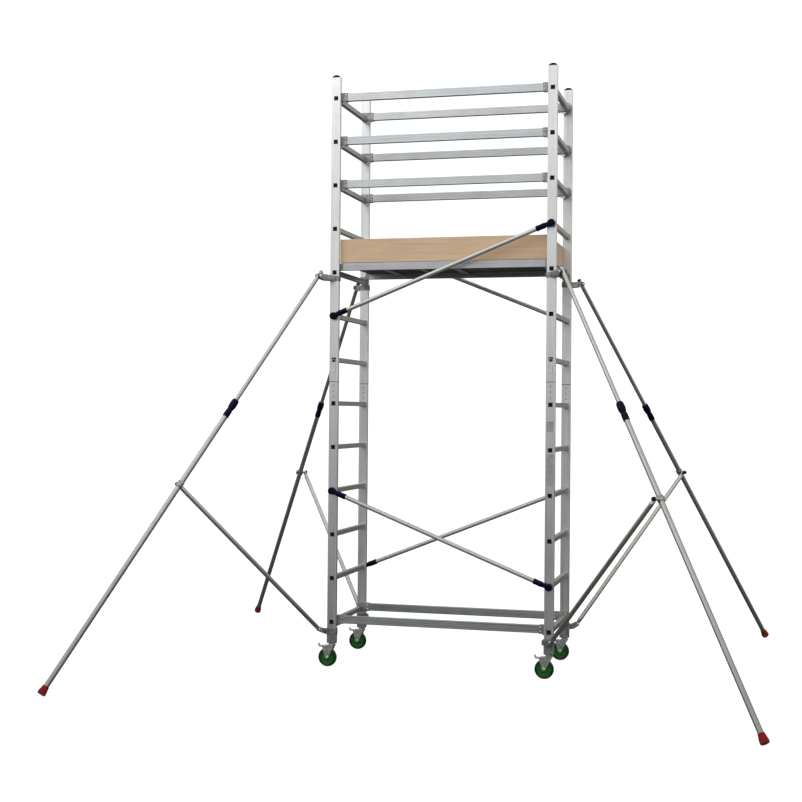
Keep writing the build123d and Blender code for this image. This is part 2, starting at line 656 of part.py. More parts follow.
def brake_pedal():
    """Foot pedal behind the wheel: a sleeve on its pin, a shoe above the tread and a raised toe."""
    sleeve_ends = (-PEDAL_HALF_Y, PEDAL_HALF_Y)
    pivot = (PEDAL_PIVOT_X, PEDAL_PIVOT_Z)
    body = rod((pivot[0], sleeve_ends[0], pivot[1]), (pivot[0], sleeve_ends[1], pivot[1]), PEDAL_SLEEVE_R)
    shoe_x, shoe_z = pivot[0] - PEDAL_REACH, pivot[1] + PEDAL_THICK
    toe_x, toe_z = shoe_x - PEDAL_TOE[0], shoe_z + PEDAL_TOE[1]
    pad_x = pivot[0] - 2 * PEDAL_SLEEVE_R
    outline = [(pivot[0], shoe_z), (shoe_x, shoe_z), (toe_x, toe_z), (toe_x - PEDAL_THICK, toe_z),
               (shoe_x - PEDAL_THICK, pivot[1] - 1), (pad_x - 2, pivot[1] - 3), (pad_x, pivot[1] - PEDAL_PAD),
               (pivot[0] - 3, pivot[1] - 4)]
    body += upright_profile(outline, *sleeve_ends)
    return body - rod((pivot[0], -FORK_GAP, pivot[1]), (pivot[0], FORK_GAP, pivot[1]), PEDAL_PIN_R + RUNNING)


def make_castors():
    save("castor_stems", at_posts(castor_stem()))
    fork = [castor_fork(), axle_bolt()]
    wheel = castor_wheel()
    pedal = brake_pedal()
    for name, (sx, sy) in CORNERS.items():
        place = Pos(sx * POST_X, sy * POST_Y, 0)
        save("castor_fork_" + name, [place * piece for piece in fork])
        save("castor_wheel_" + name, [place * piece for piece in wheel])
        save("brake_pedal_" + name, [place * pedal])


# Stabilisers, built in the leg's plane: X outwards from the post, Z up, strut on the -Y side

def leg_point(distance):
    """A point on the leg's centre line, this far below the top pivot."""
    return (LEG_PIVOT_R + distance * math.sin(LEG_TILT), 0, LEG_PIVOT_Z - distance * math.cos(LEG_TILT))


def leg_ring(distances_and_radii, bores, rounding=0.0):
    """A turned piece on the leg's centre line from (distance, radius) pairs, bored, with rounded rims."""
    start = distances_and_radii[0][0]
    end = distances_and_radii[-1][0]
    outline = [(0, 0)] + [(radius, at - start) for at, radius in distances_and_radii] + [(0, end - start)]
    body = revolve(Plane.XZ * make_face(Polyline(*outline, close=True)), Axis.Z)
    if rounding:
        body = fillet(body.edges().filter_by(GeomType.CIRCLE).sort_by(Axis.Z)[-1], rounding)
    for bore_start, bore_end, radius in bores:
        body -= rod((0, 0, bore_start - start), (0, 0, bore_end - start), radius)
    axis = Vector(*leg_point(end)) - Vector(*leg_point(start))
    return Plane(origin=leg_point(start), z_dir=axis.normalized()) * body


def leg_inner():
    """The slim upper tube, cross-drilled for its pivot bolt."""
    body = tube(leg_point(-INNER_HEAD), leg_point(INNER_END), INNER_R, TUBE_WALL)
    pivot = leg_point(0)
    return body - rod((pivot[0], -OUTER_R, pivot[2]), (pivot[0], OUTER_R, pivot[2]), BOLT_R + RUNNING)


def leg_outer():
    """The lower tube that the upper one slides in."""
    return tube(leg_point(OUTER_START), leg_point(LEG_LENGTH - FOOT_BASE), OUTER_R, TUBE_WALL)


def twist_lock():
    """The plastic twist grip at the telescope joint: a grip, a waist and a collar."""
    shape = [(LOCK_START, LOCK_GRIP_R - LOCK_ROUND), (LOCK_START + LOCK_ROUND, LOCK_GRIP_R - 1),
             ((LOCK_START + LOCK_GRIP_END) / 2, LOCK_GRIP_R), (LOCK_GRIP_END - LOCK_ROUND, LOCK_GRIP_R - 1),
             (LOCK_GRIP_END, LOCK_GRIP_R - LOCK_ROUND), (LOCK_GRIP_END + LOCK_ROUND, LOCK_WAIST_R),
             (LOCK_COLLAR_START, LOCK_WAIST_R), (LOCK_COLLAR_START + LOCK_ROUND, LOCK_COLLAR_R),
             (LOCK_END - 1, LOCK_COLLAR_R), (LOCK_END, LOCK_COLLAR_R - 1)]
    shoulder = OUTER_START - 1
    bores = [(LOCK_START - 1, shoulder, INNER_R + RUNNING), (shoulder - 1, LOCK_END + 1, OUTER_R + RUNNING)]
    return leg_ring(shape, bores)


def foot():
    """The rubber foot: a short boot that flares towards its rounded end."""
    start = LEG_LENGTH - FOOT_HIGH
    shape = [(start, FOOT_TOP_R - 1), (start + 1, FOOT_TOP_R), (LEG_LENGTH - 3 * FOOT_ROUND, FOOT_R - 1),
             (LEG_LENGTH - 2 * FOOT_ROUND, FOOT_R), (LEG_LENGTH, FOOT_R)]
    return leg_ring(shape, [(start - 1, LEG_LENGTH - FOOT_BASE, OUTER_R + PLUG_PLAY)], FOOT_ROUND)


def strut_clamp(place):
    """The collar on the lower tube that carries the strut's outer end."""
    low = place - CLAMP_HALF
    high = place + CLAMP_HALF
    shape = [(low, CLAMP_R - CLAMP_ROUND), (low + CLAMP_ROUND, CLAMP_R), (high - CLAMP_ROUND, CLAMP_R),
             (high, CLAMP_R - CLAMP_ROUND)]
    return leg_ring(shape, [(low - 1, high + 1, OUTER_R + PLUG_PLAY)])


def strut(clamp_place):
    """A tube with flattened, drilled ends, a spacer towards the leg and a hand knob on its bolt."""
    low = Vector(STRUT_PIVOT_R, -STRUT_SIDE, STRUT_PIVOT_Z)
    high = Vector(*leg_point(clamp_place)) + Vector(0, -STRUT_SIDE, 0)
    along = (high - low).normalized()
    inset = along * STRUT_TAB_LENGTH
    body = tube(tuple(low + inset), tuple(high - inset), STRUT_R, STRUT_WALL)
    length = (high - low).length
    tilt = -math.degrees(math.atan2(along.Z, along.X))
    tab_root = STRUT_TAB_LENGTH + 10
    half_wide = STRUT_R - STRUT_WALL
    for eye, root in ((0, tab_root), (length, length - tab_root)):
        tab_low, tab_high = sorted((eye, root))
        tab = block((tab_low, -STRUT_TAB / 2, -half_wide), (tab_high, STRUT_TAB / 2, half_wide))
        tab += rod((eye, -STRUT_TAB / 2, 0), (eye, STRUT_TAB / 2, 0), STRUT_TAB_R)
        body += Pos(*low) * Rot(0, tilt, 0) * tab
    spacer_end = -CLAMP_R - RUNNING
    body += rod((high.X, -STRUT_SIDE, high.Z), (high.X, spacer_end, high.Z), STRUT_TAB_R - 2)
    for eye in (low, high):
        hole = rod((eye.X, -STRUT_SIDE - STRUT_TAB, eye.Z), (eye.X, spacer_end + 1, eye.Z), BOLT_R + RUNNING)
        body -= hole
    knob_y = -STRUT_SIDE - STRUT_TAB / 2
    knob = rod((high.X, knob_y, high.Z), (high.X, knob_y - KNOB_THICK, high.Z), KNOB_R)
    knob = fillet(knob.edges().filter_by(GeomType.CIRCLE), 3.0)
    knob += rod((high.X, knob_y, high.Z), (high.X, spacer_end - RUNNING, high.Z), BOLT_R)
    return [body, knob]


def collar(limits, heading, arm):
    """A clamp block round a rail with an arm turned to the leg's heading."""
    low, high = limits
    outer = RectangleRounded(RAIL_X + 2 * COLLAR_WALL, RAIL_Y + 2 * COLLAR_WALL, RAIL_CORNER)
    body = Pos(0, 0, low) * extrude(outer, high - low) + Rot(0, 0, heading) * arm
    rail_space = block((-RAIL_X / 2, -RAIL_Y / 2, low - RUNG), (RAIL_X / 2, RAIL_Y / 2, high + RUNG))
    return body - rail_space


def top_arm():
    """Two ears either side of the leg's upper tube, joined by a web behind it."""
    low, high = TOP_COLLAR
    inside = INNER_R + EAR_PLAY
    web_end = LEG_PIVOT_R - INNER_HEAD - 12
    arm = block((RAIL_Y / 2, -inside, low), (web_end, inside, high))
    for low_y, high_y in ((-inside - EAR, -inside), (inside, inside + EAR)):
        root = (RAIL_Y / 2, web_end, low, high)
        ear = hull_plate((LEG_PIVOT_R, LEG_PIVOT_Z, TOP_EAR_R), root, low_y, high_y)
        start = (LEG_PIVOT_R, low_y - 1, LEG_PIVOT_Z)
        arm += ear - rod(start, (LEG_PIVOT_R, high_y + 1, LEG_PIVOT_Z), BOLT_R)
    return arm


def low_arm():
    """Two ears either side of the strut's flattened end, joined by a web at the rail."""
    low, high = LOW_COLLAR
    near = -STRUT_SIDE + STRUT_TAB / 2 + EAR_PLAY
    far = -STRUT_SIDE - STRUT_TAB / 2 - EAR_PLAY
    web_end = STRUT_PIVOT_R - STRUT_TAB_R - 20
    web_low, web_high = low + 4, high - 6
    arm = block((-RAIL_Y / 2, far - EAR, web_low), (web_end, 0, web_high))
    for low_y in (far - EAR, near):
        root = (web_end - 18, web_end, web_low, web_high)
        ear = hull_plate((STRUT_PIVOT_R, STRUT_PIVOT_Z, LOW_EAR_R), root, low_y, low_y + EAR)
        start = (STRUT_PIVOT_R, low_y - 1, STRUT_PIVOT_Z)
        arm += ear - rod(start, (STRUT_PIVOT_R, low_y + EAR + 1, STRUT_PIVOT_Z), BOLT_R)
    return arm


def bolt(x, z, y_low, y_high):
    """A cross bolt with a round head and nut outside the two ears."""
    body = rod((x, y_low - BOLT_HEAD, z), (x, y_high + BOLT_HEAD, z), BOLT_R - PLUG_PLAY)
    for start, end in ((y_low - BOLT_HEAD, y_low), (y_high, y_high + BOLT_HEAD)):
        body += rod((x, start, z), (x, end, z), BOLT_HEAD_R)
    return body


def make_stabilisers():
    top_reach = INNER_R + EAR_PLAY + EAR
    low_reach = STRUT_TAB / 2 + EAR_PLAY + EAR
    bolts = [bolt(LEG_PIVOT_R, LEG_PIVOT_Z, -top_reach, top_reach),
             bolt(STRUT_PIVOT_R, STRUT_PIVOT_Z, -STRUT_SIDE - low_reach, -STRUT_SIDE + low_reach)]
    same_everywhere = {"leg_inner_": leg_inner(), "leg_outer_": leg_outer(), "twist_lock_": twist_lock(),
                       "foot_": foot()}
    top_collars = []
    low_collars = []
    placed_bolts = []
    for name, (sx, sy) in CORNERS.items():
        heading = math.degrees(math.atan2(sy * math.sin(math.radians(LEG_HEADING)),
                                          sx * math.cos(math.radians(LEG_HEADING))))
        post = Pos(sx * POST_X, sy * POST_Y, 0)
        top_collars.append(post * collar(TOP_COLLAR, heading, top_arm()))
        low_collars.append(post * collar(LOW_COLLAR, heading, low_arm()))
        leg_place = post * Rot(0, 0, heading)
        placed_bolts += [leg_place * piece for piece in bolts]
        for stem, piece in same_everywhere.items():
            save(stem + name, [leg_place * piece])
        save("strut_clamp_" + name, [leg_place * strut_clamp(CLAMP_AT[name])])
        save("strut_" + name, [leg_place * piece for piece in strut(CLAMP_AT[name])])
    save("top_brackets", top_collars)
    save("lower_brackets", low_collars)
    save("bracket_bolts", placed_bolts)


os.makedirs("parts", exist_ok=True)
make_frames()
make_bars()
make_braces()
make_platform()
make_trapdoor()
make_castors()
make_stabilisers()
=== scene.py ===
import json
import math
import random
from itertools import product

import bmesh
import bpy
from mathutils import Matrix, Vector


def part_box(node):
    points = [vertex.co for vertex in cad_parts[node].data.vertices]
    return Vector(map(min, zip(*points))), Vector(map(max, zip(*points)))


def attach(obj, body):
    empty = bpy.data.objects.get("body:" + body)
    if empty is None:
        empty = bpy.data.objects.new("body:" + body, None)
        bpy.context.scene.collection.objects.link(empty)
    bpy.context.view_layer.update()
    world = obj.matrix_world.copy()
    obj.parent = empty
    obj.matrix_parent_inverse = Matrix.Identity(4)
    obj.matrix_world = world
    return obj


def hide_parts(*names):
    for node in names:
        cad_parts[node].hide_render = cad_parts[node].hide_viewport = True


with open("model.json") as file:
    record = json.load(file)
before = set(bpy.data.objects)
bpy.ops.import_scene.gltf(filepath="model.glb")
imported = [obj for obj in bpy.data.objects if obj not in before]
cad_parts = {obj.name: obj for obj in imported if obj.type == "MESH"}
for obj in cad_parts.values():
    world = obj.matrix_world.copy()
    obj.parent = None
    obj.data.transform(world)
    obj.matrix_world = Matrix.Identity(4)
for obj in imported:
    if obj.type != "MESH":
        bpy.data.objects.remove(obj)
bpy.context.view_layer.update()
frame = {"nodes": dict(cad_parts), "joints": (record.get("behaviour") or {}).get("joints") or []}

random.seed(11)

# The looks of a mobile scaffold tower. Metres, in the row frame: X along the bay, Y across
# it, Z up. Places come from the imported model's boxes and joints, sizes of details are given.

CORNERS = {"left_front": (-1, -1), "right_front": (1, -1), "left_back": (-1, 1), "right_back": (1, 1)}
JOINTS = {joint["name"]: joint for joint in frame["joints"]}
UP = Vector((0, 0, 1))
BOTH = (-1, 1)            # the two sides of anything that is mirrored

# Frame layout
_, rail_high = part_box("frame_rails")
rung_low, rung_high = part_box("frame_rungs")
RUNG = 0.030              # a rung's outside size
RUNG_COUNT = 13
RUNG_SPREAD = rung_high.z - rung_low.z - RUNG
RUNGS = [rung_low.z + RUNG / 2 + i * RUNG_SPREAD / (RUNG_COUNT - 1) for i in range(RUNG_COUNT)]
RAIL_X = 0.060            # a rail's outside sizes, along and across the bay
RAIL_Y = 0.025
POST_X = rail_high.x - RAIL_X / 2
FACE_Y = rail_high.y
POST_Y = FACE_Y - RAIL_Y / 2
FLUSH = 0.0004            # how far a surface detail stands off the face it lies on


def place_of(joint):
    return Vector(JOINTS[joint]["pos_m"])


# ---- node helpers

class Graph:
    """Adds and links shader nodes. A kind is the node's name without its prefix."""

    def __init__(self, tree):
        self.tree = tree

    def add(self, kind, sockets=None, **settings):
        made = self.tree.nodes.new("ShaderNode" + kind)
        for key, value in settings.items():
            setattr(made, key, value)
        for key, value in (sockets or {}).items():
            if isinstance(value, bpy.types.NodeSocket):
                self.tree.links.new(value, made.inputs[key])
            else:
                made.inputs[key].default_value = value
        return made

    def object_position(self):
        return self.add("TexCoord").outputs["Object"]

    def object_normal(self):
        """The normal in the piece's own space, so that it doesn't change with the pose."""
        return self.add("TexCoord").outputs["Normal"]

    def split(self, vector):
        """A vector's X, Y and Z sockets."""
        return self.add("SeparateXYZ", {"Vector": vector}).outputs

    def stretched(self, vector, scale, turn=(0.0, 0.0, 0.0)):
        """Coordinates turned and then scaled, so that a pattern can run along one way."""
        turned = self.add("Mapping", {"Vector": vector, "Rotation": turn}).outputs[0]
        return self.add("Mapping", {"Vector": turned, "Scale": scale}).outputs[0]

    def noise(self, vector, scale=1.0, detail=3.0, roughness=0.55):
        made = self.add("TexNoise", {"Vector": vector, "Scale": scale, "Detail": detail,
                                     "Roughness": roughness})
        return made.outputs["Fac"]

    def math(self, operation, first, second=0.0):
        return self.add("Math", {0: first, 1: second}, operation=operation).outputs[0]

    def plus(self, first, second):
        return self.math("ADD", first, second)

    def minus(self, first, second):
        return self.math("SUBTRACT", first, second)

    def times(self, first, second):
        return self.math("MULTIPLY", first, second)

    def span(self, value, low, high, to_low=0.0, to_high=1.0):
        return self.add("MapRange", {"Value": value, "From Min": low, "From Max": high,
                                     "To Min": to_low, "To Max": to_high}).outputs[0]

    def mix(self, factor, first, second, blend="MIX"):
        made = self.add("Mix", {"Factor": factor}, data_type="RGBA", blend_type=blend)
        for socket, value in ((made.inputs[6], first), (made.inputs[7], second)):
            if isinstance(value, bpy.types.NodeSocket):
                self.tree.links.new(value, socket)
            else:
                socket.default_value = (*value, 1.0)
        return made.outputs[2]

    def ramp(self, value, stops):
        """A colour ramp from a list of (place, colour)."""
        made = self.add("ValToRGB", {"Fac": value})
        elements = made.color_ramp.elements
        elements[0].position, elements[1].position = stops[0][0], stops[-1][0]
        elements[0].color, elements[1].color = (*stops[0][1], 1.0), (*stops[-1][1], 1.0)
        for place, colour in stops[1:-1]:
            elements.new(place).color = (*colour, 1.0)
        return made.outputs["Color"]

    def shades(self, value, colour, *stops):
        """A ramp through shades of one colour, from (place, factor) pairs."""
        return self.ramp(value, [(place, shade_of(colour, factor)) for place, factor in stops])

    def finish(self, **sockets):
        """Links or sets the shader's sockets, named with underscores for spaces. Returns the material."""
        for key, value in sockets.items():
            socket = self.shader.inputs[key.replace("_", " ")]
            if isinstance(value, bpy.types.NodeSocket):
                self.tree.links.new(value, socket)
            else:
                socket.default_value = value
        return self.material

    def grey(self, value):
        return self.add("CombineColor", {0: value, 1: value, 2: value}).outputs[0]

    def bump(self, height, strength, distance, below=None):
        sockets = {"Height": height, "Strength": strength, "Distance": distance}
        if below is not None:
            sockets["Normal"] = below
        return self.add("Bump", sockets).outputs["Normal"]


def empty_graph(owner):
    """Clears the nodes of a material or a world, and returns the graph to fill."""
    owner.use_nodes = True
    owner.node_tree.nodes.clear()
    return Graph(owner.node_tree)


def new_material(name):
    """The graph of a new material that has a Principled shader."""
    made = bpy.data.materials.new(name)
    graph = empty_graph(made)
    graph.material = made
    graph.shader = graph.add("BsdfPrincipled")
    output = graph.add("OutputMaterial")
    graph.tree.links.new(graph.shader.outputs[0], output.inputs[0])
    return graph


def shade_of(colour, factor):
    return tuple(channel * factor for channel in colour)


# ---- materials

def painted_low_shade(graph, position, shade_top, floor_shade):
    """Painted shade: metal multiplied darker towards the floor, standing in for the dimmer light low down: 1
    is unshaded.
    """
    height = graph.split(position)["Z"]
    cloud = graph.noise(position, scale=5.0, detail=4.0)
    wavy = graph.plus(height, graph.times(graph.minus(cloud, 0.5), 0.5))
    return graph.span(wavy, 0.0, shade_top, floor_shade, 1.0)


def extruded(name, colour, along=UP, rough=0.34, shade_top=2.4, floor_shade=0.72, lines=0.18, position=None,
             graph=None):
    """Mill-finish aluminium: fine die streaks one way, faint blotches, scuffs, and painted shade that darkens
    it towards the floor.
    """
    graph = graph or new_material(name)
    position = position or graph.object_position()
    turn = tuple(Vector(along).rotation_difference(UP).to_euler())
    streaks = graph.noise(graph.stretched(position, (420.0, 420.0, 2.5), turn), detail=2.0)
    broad = graph.noise(graph.stretched(position, (90.0, 90.0, 1.1), turn), detail=2.0)
    blotch = graph.noise(position, scale=7.0, detail=5.0, roughness=0.65)
    scuff = graph.noise(graph.stretched(position, (60.0, 60.0, 14.0), turn), detail=6.0, roughness=0.7)
    scuff = graph.span(scuff, 0.62, 0.72)
    grain = graph.plus(graph.times(streaks, 0.5), graph.times(broad, 0.5))
    tone = graph.shades(grain, colour, (0.30, 0.80), (0.52, 1.0), (0.72, 1.12))
    tone = graph.mix(graph.span(blotch, 0.35, 0.75, 0.0, 0.30), tone, shade_of(colour, 0.78))
    tone = graph.mix(graph.times(scuff, 0.35), tone, shade_of(colour, 0.55))
    # painted shade: the tone is multiplied darker towards the floor, made wavy by a cloud noise
    low_shade = painted_low_shade(graph, position, shade_top, floor_shade)
    tone = graph.mix(1.0, tone, graph.grey(low_shade), blend="MULTIPLY")
    dull = graph.span(grain, 0.3, 0.7, rough - 0.07, rough + 0.08)
    dull = graph.plus(dull, graph.span(blotch, 0.4, 0.8, 0.0, 0.12))
    dull = graph.plus(dull, graph.times(scuff, 0.12))
    normal = graph.bump(streaks, lines, 0.0002)
    normal = graph.bump(blotch, 0.05, 0.0006, below=normal)
    return graph.finish(Base_Color=tone, Roughness=dull, Normal=normal, Metallic=1.0)


def sloped_brace(name, colour, slope):
    """Extruded tube whose streaks follow each diagonal: two lean one way and two the other."""
    graph = new_material(name)
    position = graph.object_position()
    split = graph.split(position)
    between = (RUNGS[3] + RUNGS[7]) / 2     # over the lower braces and under the upper ones
    lean = graph.times(split["Y"], graph.minus(split["Z"], between))
    angle = graph.times(graph.math("SIGN", lean), -slope)
    turned = graph.add("VectorRotate", {"Vector": position, "Angle": angle},
                       rotation_type="Y_AXIS").outputs[0]
    return extruded(name, colour, along=(1, 0, 0), rough=0.50, shade_top=1.2, lines=0.06, position=turned,
                    graph=graph)


def cast(name, colour, metallic=0.9, rough=0.55):
    """Sand-cast alloy: pebbled skin, darker clouds, a few bright knocks."""
    graph = new_material(name)
    position = graph.object_position()
    pebble = graph.noise(position, scale=900.0, detail=3.0)
    cloud = graph.noise(position, scale=45.0, detail=5.0, roughness=0.65)
    knock = graph.span(graph.noise(position, scale=160.0, detail=6.0, roughness=0.75), 0.66, 0.72)
    tone = graph.shades(cloud, colour, (0.3, 0.50), (0.55, 1.0), (0.75, 1.45))
    tone = graph.mix(graph.times(knock, 0.6), tone, shade_of(colour, 1.9))
    dull = graph.minus(graph.span(cloud, 0.3, 0.7, rough - 0.08, rough + 0.1),
                      graph.times(knock, 0.2))
    normal = graph.bump(pebble, 0.35, 0.0004)
    return graph.finish(Base_Color=tone, Roughness=dull, Normal=normal, Metallic=metallic)


def zinc(name, colour=(0.92, 0.94, 0.92)):
    """Zinc-plated pressed steel: spangled patches, light rust specks in places."""
    graph = new_material(name)
    position = graph.object_position()
    flake = graph.add("TexVoronoi", {"Vector": position, "Scale": 260.0}).outputs["Color"]
    patch = graph.add("SeparateColor", {"Color": flake}).outputs[0]
    cloud = graph.noise(position, scale=32.0, detail=3.0)
    speck = graph.span(graph.noise(position, scale=210.0, detail=8.0, roughness=0.8), 0.70, 0.76)
    tone = graph.shades(patch, colour, (0.0, 0.78), (1.0, 1.08))
    tone = graph.mix(graph.span(cloud, 0.40, 0.66, 0.0, 0.40), tone, shade_of(colour, 0.50))
    tone = graph.mix(graph.times(speck, 0.5), tone, (0.16, 0.07, 0.03))
    dull = graph.span(patch, 0.0, 1.0, 0.20, 0.34)
    normal = graph.bump(cloud, 0.12, 0.0004)
    return graph.finish(Base_Color=tone, Roughness=dull, Normal=normal, Metallic=1.0)


def moulded(name, colour, rough=0.42, wear=0.3, lift=(0.25, 0.25, 0.25), shine=0.25):
    """Injection-moulded plastic: spark-eroded grain, rubbed patches and small pale scuffs."""
    graph = new_material(name)
    position = graph.object_position()
    fine = graph.noise(position, scale=1400.0, detail=2.0)
    cloud = graph.noise(position, scale=70.0, detail=4.0, roughness=0.6)
    scuff = graph.span(graph.noise(position, scale=240.0, detail=7.0, roughness=0.75), 0.64, 0.73)
    tone = graph.shades(cloud, colour, (0.3, 0.75), (0.6, 1.0), (0.85, 1.3))
    tone = graph.mix(graph.times(scuff, wear), tone, lift)
    dull = graph.plus(graph.span(cloud, 0.3, 0.75, rough - 0.06, rough + 0.1),
                      graph.times(scuff, 0.2))
    normal = graph.bump(fine, 0.25, 0.00025)
    return graph.finish(Base_Color=tone, Roughness=dull, Normal=normal, Specular_IOR_Level=shine)


def rubber(name, colour, rough=0.6, shine=0.25):
    """Moulded rubber: matt, faintly clouded, with grey dust near the floor."""
    graph = new_material(name)
    position = graph.object_position()
    height = graph.split(position)["Z"]
    fine = graph.noise(position, scale=1100.0, detail=2.0)
    cloud = graph.noise(position, scale=55.0, detail=5.0, roughness=0.65)
    dust = graph.times(graph.span(height, 0.035, 0.0), graph.span(cloud, 0.3, 0.7))
    tone = graph.shades(cloud, colour, (0.3, 0.72), (0.55, 1.0), (0.8, 1.25))
    tone = graph.mix(graph.times(dust, 0.5), tone, (0.20, 0.18, 0.15))
    dull = graph.plus(graph.span(cloud, 0.3, 0.7, rough - 0.07, rough + 0.08),
                      graph.times(dust, 0.2))
    normal = graph.bump(fine, 0.3, 0.0003)
    normal = graph.bump(cloud, 0.08, 0.0008, below=normal)
    return graph.finish(Base_Color=tone, Roughness=dull, Normal=normal, Specular_IOR_Level=shine)


TOE_LAYER = 0.0024        # half the repeat of the glued layers in the toe boards
DECK_LAYER = 0.0013       # and in the deck
MESH_PITCH = 0.0035       # half the spacing of the deck's grip mesh


def plywood(name, face, rough=0.55):
    """Rotary-cut plywood: long wavy figure along X, a few knots, and glued layers on the edges."""
    graph = new_material(name)
    position = graph.object_position()
    warp = graph.noise(graph.stretched(position, (1.6, 3.0, 5.0)), detail=3.0)
    bands = graph.plus(graph.noise(graph.stretched(position, (1.2, 26.0, 26.0)), detail=4.0),
                       graph.times(warp, 0.6))
    figure = graph.math("FRACT", graph.times(bands, 5.0))
    figure = graph.span(graph.math("ABSOLUTE", graph.minus(figure, 0.5)), 0.0, 0.5)
    fibre = graph.noise(graph.stretched(position, (22.0, 700.0, 700.0)), detail=3.0)
    cloud = graph.noise(position, scale=4.5, detail=4.0)
    tone = graph.shades(figure, face, (0.0, 0.90), (0.5, 1.0), (1.0, 1.06))
    warm = (face[0] * 1.03, face[1] * 0.93, face[2] * 0.86)
    tone = graph.mix(graph.span(cloud, 0.35, 0.7, 0.0, 0.55), tone, warm)
    tone = graph.mix(graph.span(fibre, 0.45, 0.75, 0.0, 0.22), tone, shade_of(face, 0.72))
    cells = graph.stretched(position, (2.2, 5.0, 5.0))
    knots = graph.add("TexVoronoi", {"Vector": cells, "Scale": 1.0}, feature="F1").outputs["Distance"]
    knot = graph.span(knots, 0.075, 0.03)
    tone = graph.mix(graph.times(knot, 0.5), tone, shade_of(face, 0.42))
    split = graph.split(position)
    facing = graph.split(graph.object_normal())["Z"]
    on_edge = graph.span(graph.math("ABSOLUTE", facing), 0.6, 0.8)
    layers = graph.math("PINGPONG", graph.plus(split["Y"], split["X"]), TOE_LAYER)
    layer_tone = graph.shades(graph.times(layers, 400.0), face, (0.3, 0.55), (0.6, 1.02))
    tone = graph.mix(on_edge, tone, layer_tone)
    dull = graph.span(fibre, 0.3, 0.7, rough - 0.06, rough + 0.1)
    normal = graph.bump(fibre, 0.2, 0.0003)
    return graph.finish(Base_Color=tone, Roughness=dull, Normal=normal)


def film_ply(name, colour=(0.032, 0.027, 0.024)):
    """Dark film-faced plywood: a pressed grip mesh on top, smooth film below, layers on the edges."""
    graph = new_material(name)
    position = graph.object_position()
    facing = graph.split(graph.object_normal())["Z"]
    mesh_turn = (0.0, 0.0, math.radians(45))
    grid = graph.split(graph.stretched(position, (1.0, 1.0, 1.0), mesh_turn))
    cross = [graph.span(graph.math("PINGPONG", grid[axis], MESH_PITCH), 0.0003, 0.0011) for axis in "XY"]
    wire = graph.times(cross[0], cross[1])
    topside = graph.span(facing, 0.6, 0.8)
    cloud = graph.noise(position, scale=9.0, detail=5.0, roughness=0.65)
    scrape = graph.span(graph.noise(graph.stretched(position, (8.0, 60.0, 8.0)), detail=7.0, roughness=0.75),
                        0.60, 0.72)
    tone = graph.shades(cloud, colour, (0.3, 0.7), (0.6, 1.0), (0.85, 1.8))
    scraped = graph.times(scrape, graph.times(topside, 0.35))
    tone = graph.mix(scraped, tone, (0.17, 0.14, 0.11))
    layers = graph.times(graph.math("PINGPONG", graph.split(position)["Z"], DECK_LAYER), 760.0)
    edge = graph.ramp(layers, [(0.3, (0.14, 0.09, 0.05)), (0.7, (0.42, 0.30, 0.18))])
    sideways = graph.span(graph.math("ABSOLUTE", facing), 0.5, 0.3)
    tone = graph.mix(sideways, tone, edge)
    dull = graph.span(cloud, 0.3, 0.7, 0.38, 0.58)
    normal = graph.bump(graph.times(wire, topside), 0.6, 0.0006)
    return graph.finish(Base_Color=tone, Roughness=dull, Normal=normal)


def label_stock(name):
    """Blank weathered label film."""
    graph = new_material(name)
    position = graph.object_position()
    cloud = graph.noise(position, scale=30.0, detail=5.0, roughness=0.7)
    rub = graph.span(graph.noise(position, scale=120.0, detail=6.0, roughness=0.8), 0.55, 0.7)
    tone = graph.ramp(cloud, [(0.35, (0.30, 0.31, 0.32)), (0.65, (0.44, 0.45, 0.46))])
    tone = graph.mix(graph.times(rub, 0.6), tone, (0.62, 0.63, 0.62))
    return graph.finish(Base_Color=tone, Roughness=graph.span(rub, 0.0, 1.0, 0.35, 0.6))


def strut_direction(name):
    """From a strut's low pivot to the middle of its clamp."""
    clamp_low, clamp_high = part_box("strut_clamp_" + name)
    return (clamp_low + clamp_high) / 2 - place_of("strut_fold_" + name)


LEG_DIRECTIONS = {name: -Vector(JOINTS["leg_telescope_" + name]["axis"]) for name in CORNERS}
BRACE_SLOPE = math.atan2(2 * (RUNGS[1] - RUNGS[0]), 2 * POST_X)
POST_METAL = extruded("rail_aluminium", (0.80, 0.81, 0.80), UP)
RUNG_METAL = extruded("rung_aluminium", (0.62, 0.61, 0.58), (0, 1, 0), rough=0.42)
BAR_METAL = extruded("bar_aluminium", (0.60, 0.625, 0.64), (1, 0, 0))
BEAM_METAL = extruded("beam_aluminium", (0.53, 0.54, 0.56), (1, 0, 0))
TUBE_FINISH = {"rough": 0.42, "shade_top": 1.0, "lines": 0.05}
LEG_METAL = {name: extruded("leg_aluminium_" + name, (0.48, 0.475, 0.45), LEG_DIRECTIONS[name], **TUBE_FINISH)
             for name in CORNERS}
STRUT_METAL = {name: extruded("strut_aluminium_" + name, (0.56, 0.55, 0.51), strut_direction(name),
                              **TUBE_FINISH) for name in CORNERS}
BRACE_METAL = sloped_brace("brace_aluminium", (0.66, 0.66, 0.65), BRACE_SLOPE)
CAST_METAL = cast("cast_alloy", (0.38, 0.385, 0.375))
STEM_METAL = cast("stem_alloy", (0.30, 0.305, 0.295))
WELD_METAL = cast("weld_metal", (0.50, 0.50, 0.48), metallic=1.0, rough=0.4)
ZINC = zinc("zinc_plate")
BLACK_PLASTIC = moulded("black_plastic", (0.006, 0.0065, 0.0065), wear=0.15, lift=(0.08, 0.08, 0.08),
                        shine=0.14)
BLUE_PLASTIC = moulded("navy_plastic", (0.0014, 0.0014, 0.022), rough=0.34, wear=0.06,
                       lift=(0.02, 0.025, 0.10), shine=0.10)
RED_RUBBER = rubber("red_rubber", (0.235, 0.009, 0.007), shine=0.12)
GREEN_RUBBER = rubber("green_rubber", (0.005, 0.042, 0.007), rough=0.42)
